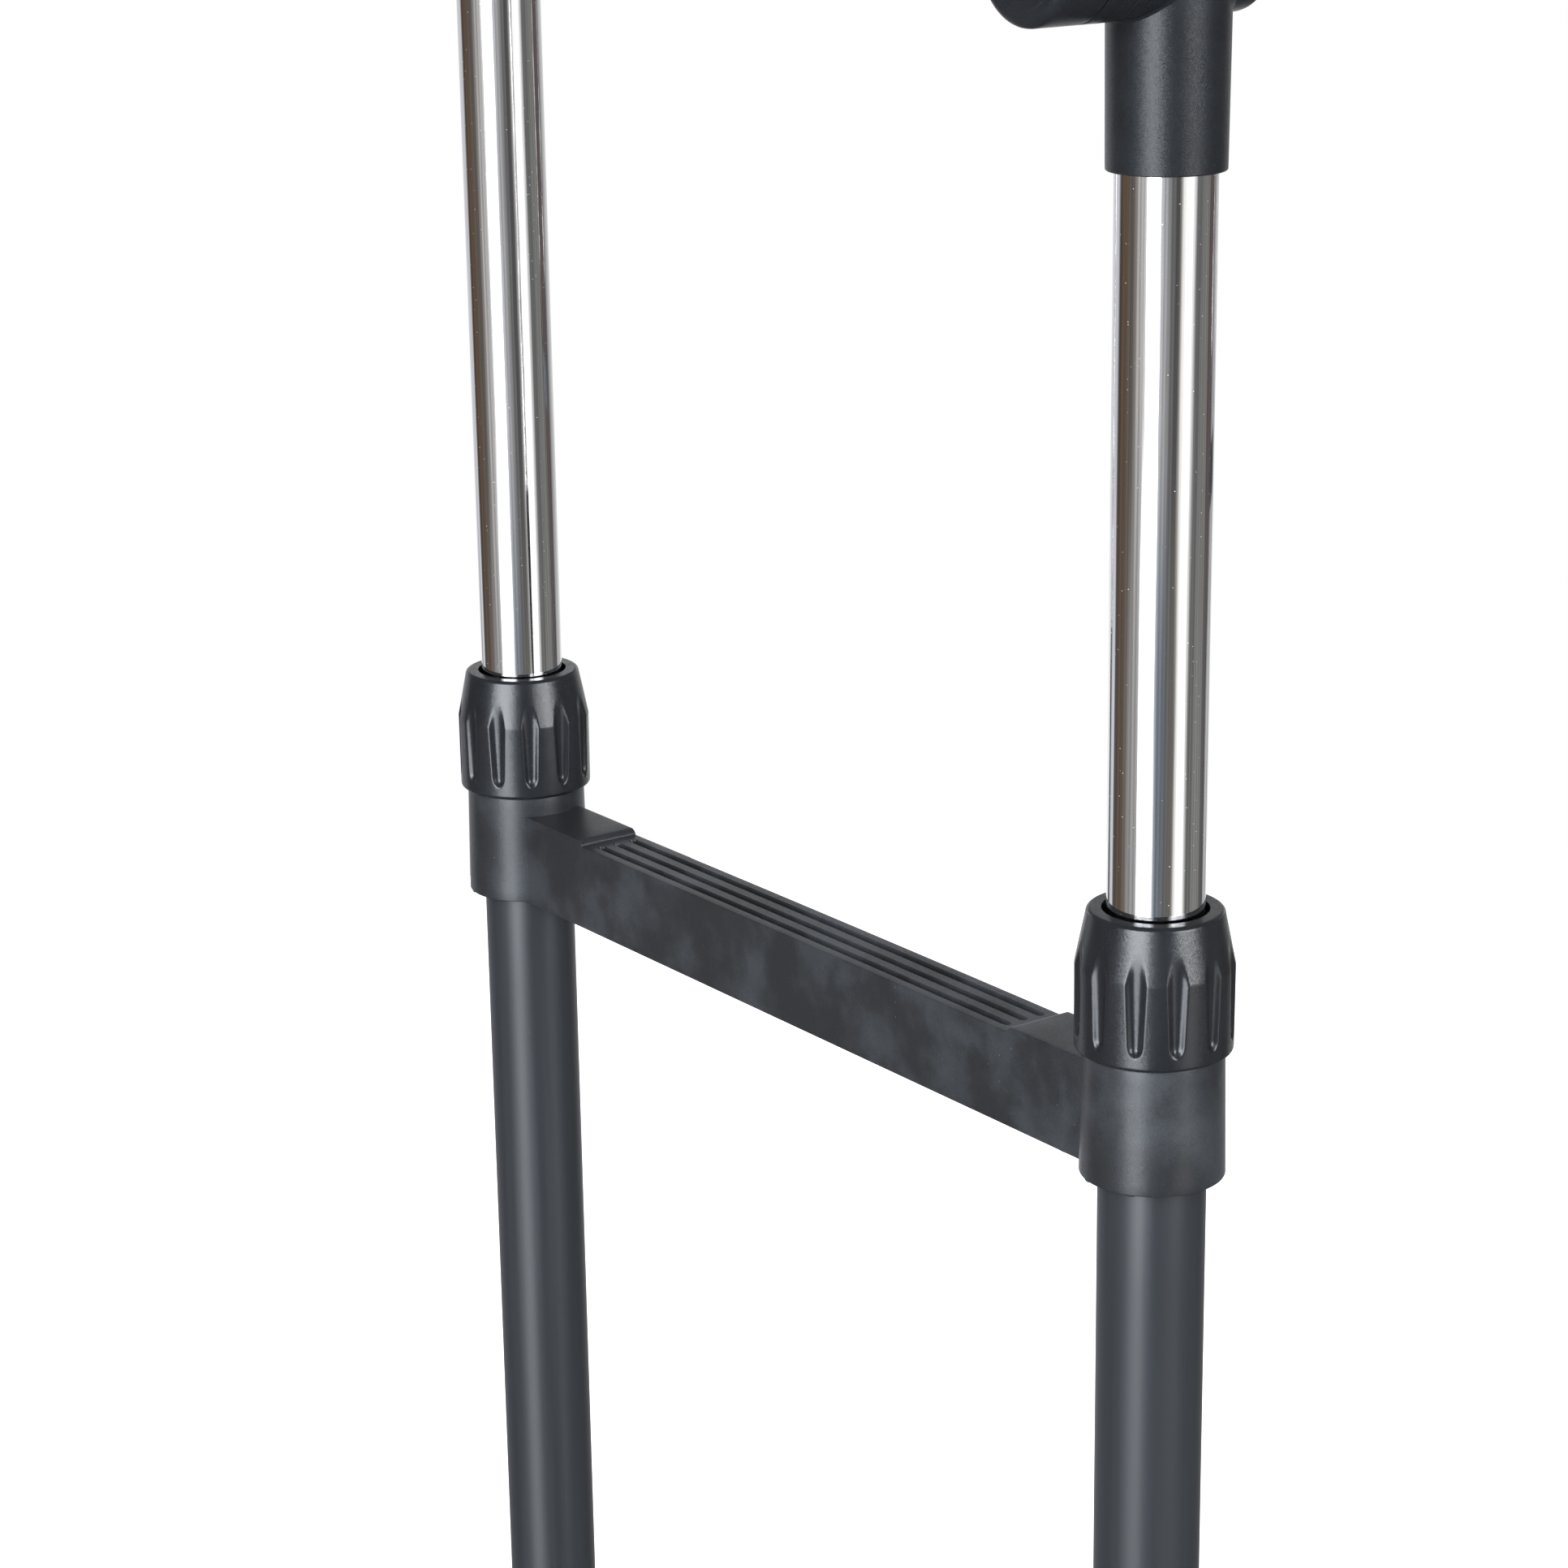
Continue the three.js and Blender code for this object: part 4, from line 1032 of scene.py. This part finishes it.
# The same, nearer to the floor
lowBands = {
    "back of the pale side": (-180, (0.42, 0.42, 0.42)),
    "left softbox": (-168, -149, (6.8, 7.1, 7.4)),
    "left softbox shade": (-143, (0.90, 0.93, 0.99)),
    "blue screen": (-136, -128, (0.165, 0.188, 0.225)),
    "lamp foot": (-122, -116, (0.140, 0.148, 0.160)),
    "dark corner": (-109, -99, (0.135, 0.132, 0.122)),
    "front softbox edge": (-92, (0.75, 0.74, 0.69)),
    "front softbox": (-86, -71, (1.22, 1.22, 1.18)),
    "screen edge": (-60, -50, (0.160, 0.164, 0.160)),
    "grey wall": (-38, -24, (0.225, 0.225, 0.215)),
    "far wall": (-10, -2, (0.100, 0.092, 0.094)),
    "white sweep": (9, 22, (0.56, 0.56, 0.56)),
    "white wall": (40, 76, (1.00, 1.00, 1.01)),
    "blue line": (87, (0.18, 0.18, 0.20)),
    "sweep edge": (97, 104, (0.70, 0.70, 0.75)),
    "dark line": (111, 115, (0.090, 0.088, 0.094)),
    "brown door": (121, 141, (0.118, 0.090, 0.068)),
    "pale side": (165, 180, (0.34, 0.335, 0.33)),
}
# The same, above the horizon
highBands = {
    "left softbox": (-168, -145, (14.4, 14.9, 15.6)),
    "dark room": (-135, -101, (0.07, 0.07, 0.075)),
    "front softbox": (-92, -70, (14.6, 15.0, 15.4)),
    "side wall": (-58, 2, (0.08, 0.08, 0.08)),
    "white sweep": (22, 88, (1.15, 1.15, 1.16)),
    "back wall": (104, 176, (0.07, 0.068, 0.065)),
}
level = {
    "camera": 1.0, "soft": 0.25, "ceiling": (0.15, 0.15, 0.155), "floor": (0.14, 0.14, 0.143),
    "highSpan": (0.0, 0.12), "lowSpan": (-0.19, -0.27), "ceilingSpan": (0.16, 0.34),
    "floorSpan": (-0.34, -0.62), "uprights": 75.0, "uprightSpan": (0.32, 0.68), "uprightDepth": 0.22,
}


# Colour ramp over the angle round Z, with a stop at every angle of the bands
def bandRamp(n, share, bandSet):
    ramp = n.add("ValToRGB", {0: share})
    stops = ramp.color_ramp.elements
    edges = sorted((place / 360 + 0.5, colour) for *ends, colour in bandSet.values() for place in ends)
    stops[0].position, stops[0].color = edges[0][0], opaque(edges[0][1])
    stops[1].position, stops[1].color = edges[-1][0], opaque(edges[-1][1])
    for place, colour in edges[1:-1]:
        stops.new(place).color = opaque(colour)
    return ramp.outputs[0]


# White for the camera, dim for soft light, and for shiny surfaces the bands. By height these run from
# a plain floor over the low, middle and high bands to a plain ceiling. Fine uprights vary them.
def makeWorld():
    world = bpy.data.worlds.new("studio")
    bpy.context.scene.world = world
    world.use_nodes = True
    world.cycles.sampling_method = "NONE"
    n = Nodes(world.node_tree)
    direction = n.add("TexCoord").outputs["Generated"]
    axes = n.add("SeparateXYZ", {0: direction}).outputs
    angle, height = n.sums("ARCTAN2", axes["Y"], axes["X"]), axes["Z"]
    share = n.sums("MULTIPLY_ADD", angle, 1 / (2 * math.pi), 0.5)
    above, below = n.ranged(height, *level["highSpan"]), n.ranged(height, *level["lowSpan"])
    horizon = n.mixed(above, bandRamp(n, share, bands), bandRamp(n, share, highBands))
    horizon = n.mixed(below, horizon, bandRamp(n, share, lowBands))
    place = n.add("CombineXYZ", {0: n.sums("MULTIPLY", share, level["uprights"]), 1: height}).outputs[0]
    numbers = {"Vector": place, "Scale": 1.0, "Detail": 2.0}
    lines = n.add("TexNoise", numbers, noise_dimensions="2D").outputs["Fac"]
    dark, light = 1 - level["uprightDepth"], 1 + level["uprightDepth"]
    horizon = n.scaled(horizon, n.ranged(lines, *level["uprightSpan"], dark, light))
    studio = n.mixed(n.ranged(height, *level["ceilingSpan"]), horizon, level["ceiling"])
    studio = n.mixed(n.ranged(height, *level["floorSpan"]), studio, level["floor"])
    path = n.add("LightPath")
    shiny = n.sums("MAXIMUM", path.outputs["Is Glossy Ray"], path.outputs["Is Transmission Ray"])
    colour = n.mixed(shiny, (level["soft"],) * 3, studio)
    colour = n.mixed(path.outputs["Is Camera Ray"], colour, (level["camera"],) * 3)
    background = n.add("Background", {"Color": colour, "Strength": 1.0})
    n.add("OutputWorld", {"Surface": background.outputs[0]})


makeWorld()

lamps = {
    "left lamp": {"azimuth": -157, "elevation": 22, "distance": 2.4, "size": 1.3, "power": 46},
    "front lamp": {"azimuth": -81, "elevation": 25, "distance": 2.4, "size": 1.2, "power": 26},
    "back lamp": {"azimuth": 60, "elevation": 35, "distance": 3.0, "size": 1.8, "power": 30},
}
lampAim = Vector((0, 0, 0.7))
for name, lamp in lamps.items():
    data = bpy.data.lights.new(name, "AREA")
    data.energy, data.size = lamp["power"], lamp["size"]
    made = linked(name, data)
    around, up = math.radians(lamp["azimuth"]), math.radians(lamp["elevation"])
    out = Vector((math.cos(around) * math.cos(up), math.sin(around) * math.cos(up), math.sin(up)))
    made.location = lampAim + out * lamp["distance"]
    made.rotation_mode = "QUATERNION"
    made.rotation_quaternion = (-out).to_track_quat("-Z", "Y")
    made.visible_camera = False
    made.visible_glossy = False

# Camera, as the photograph was taken: place in metres, heading clockwise from +Y, dip and roll
shot = {
    "place": (-1.000956, -0.830909, 1.220921), "heading": 35.5556, "dip": 16.6262, "roll": -0.8503,
    "lens": 86.99, "sensor": 36, "near": 0.05, "far": 50,
}
heading, dip, roll = (math.radians(shot[key]) for key in ("heading", "dip", "roll"))
ahead = Vector((math.sin(heading) * math.cos(dip), math.cos(heading) * math.cos(dip), -math.sin(dip)))
right = Vector((math.cos(heading), -math.sin(heading), 0))
up = right.cross(ahead)
rolledRight = math.cos(roll) * right + math.sin(roll) * up
rolledUp = -math.sin(roll) * right + math.cos(roll) * up
cameraData = bpy.data.cameras.new("photo camera")
cameraData.lens, cameraData.sensor_width = shot["lens"], shot["sensor"]
cameraData.clip_start, cameraData.clip_end = shot["near"], shot["far"]
camera = linked("photo camera", cameraData)
axes = Matrix((rolledRight, rolledUp, -ahead)).transposed().to_4x4()
camera.matrix_world = Matrix.Translation(shot["place"]) @ axes
bpy.context.scene.camera = camera
bpy.context.scene.view_settings.view_transform = "Standard"
print("stage, lights and camera made")
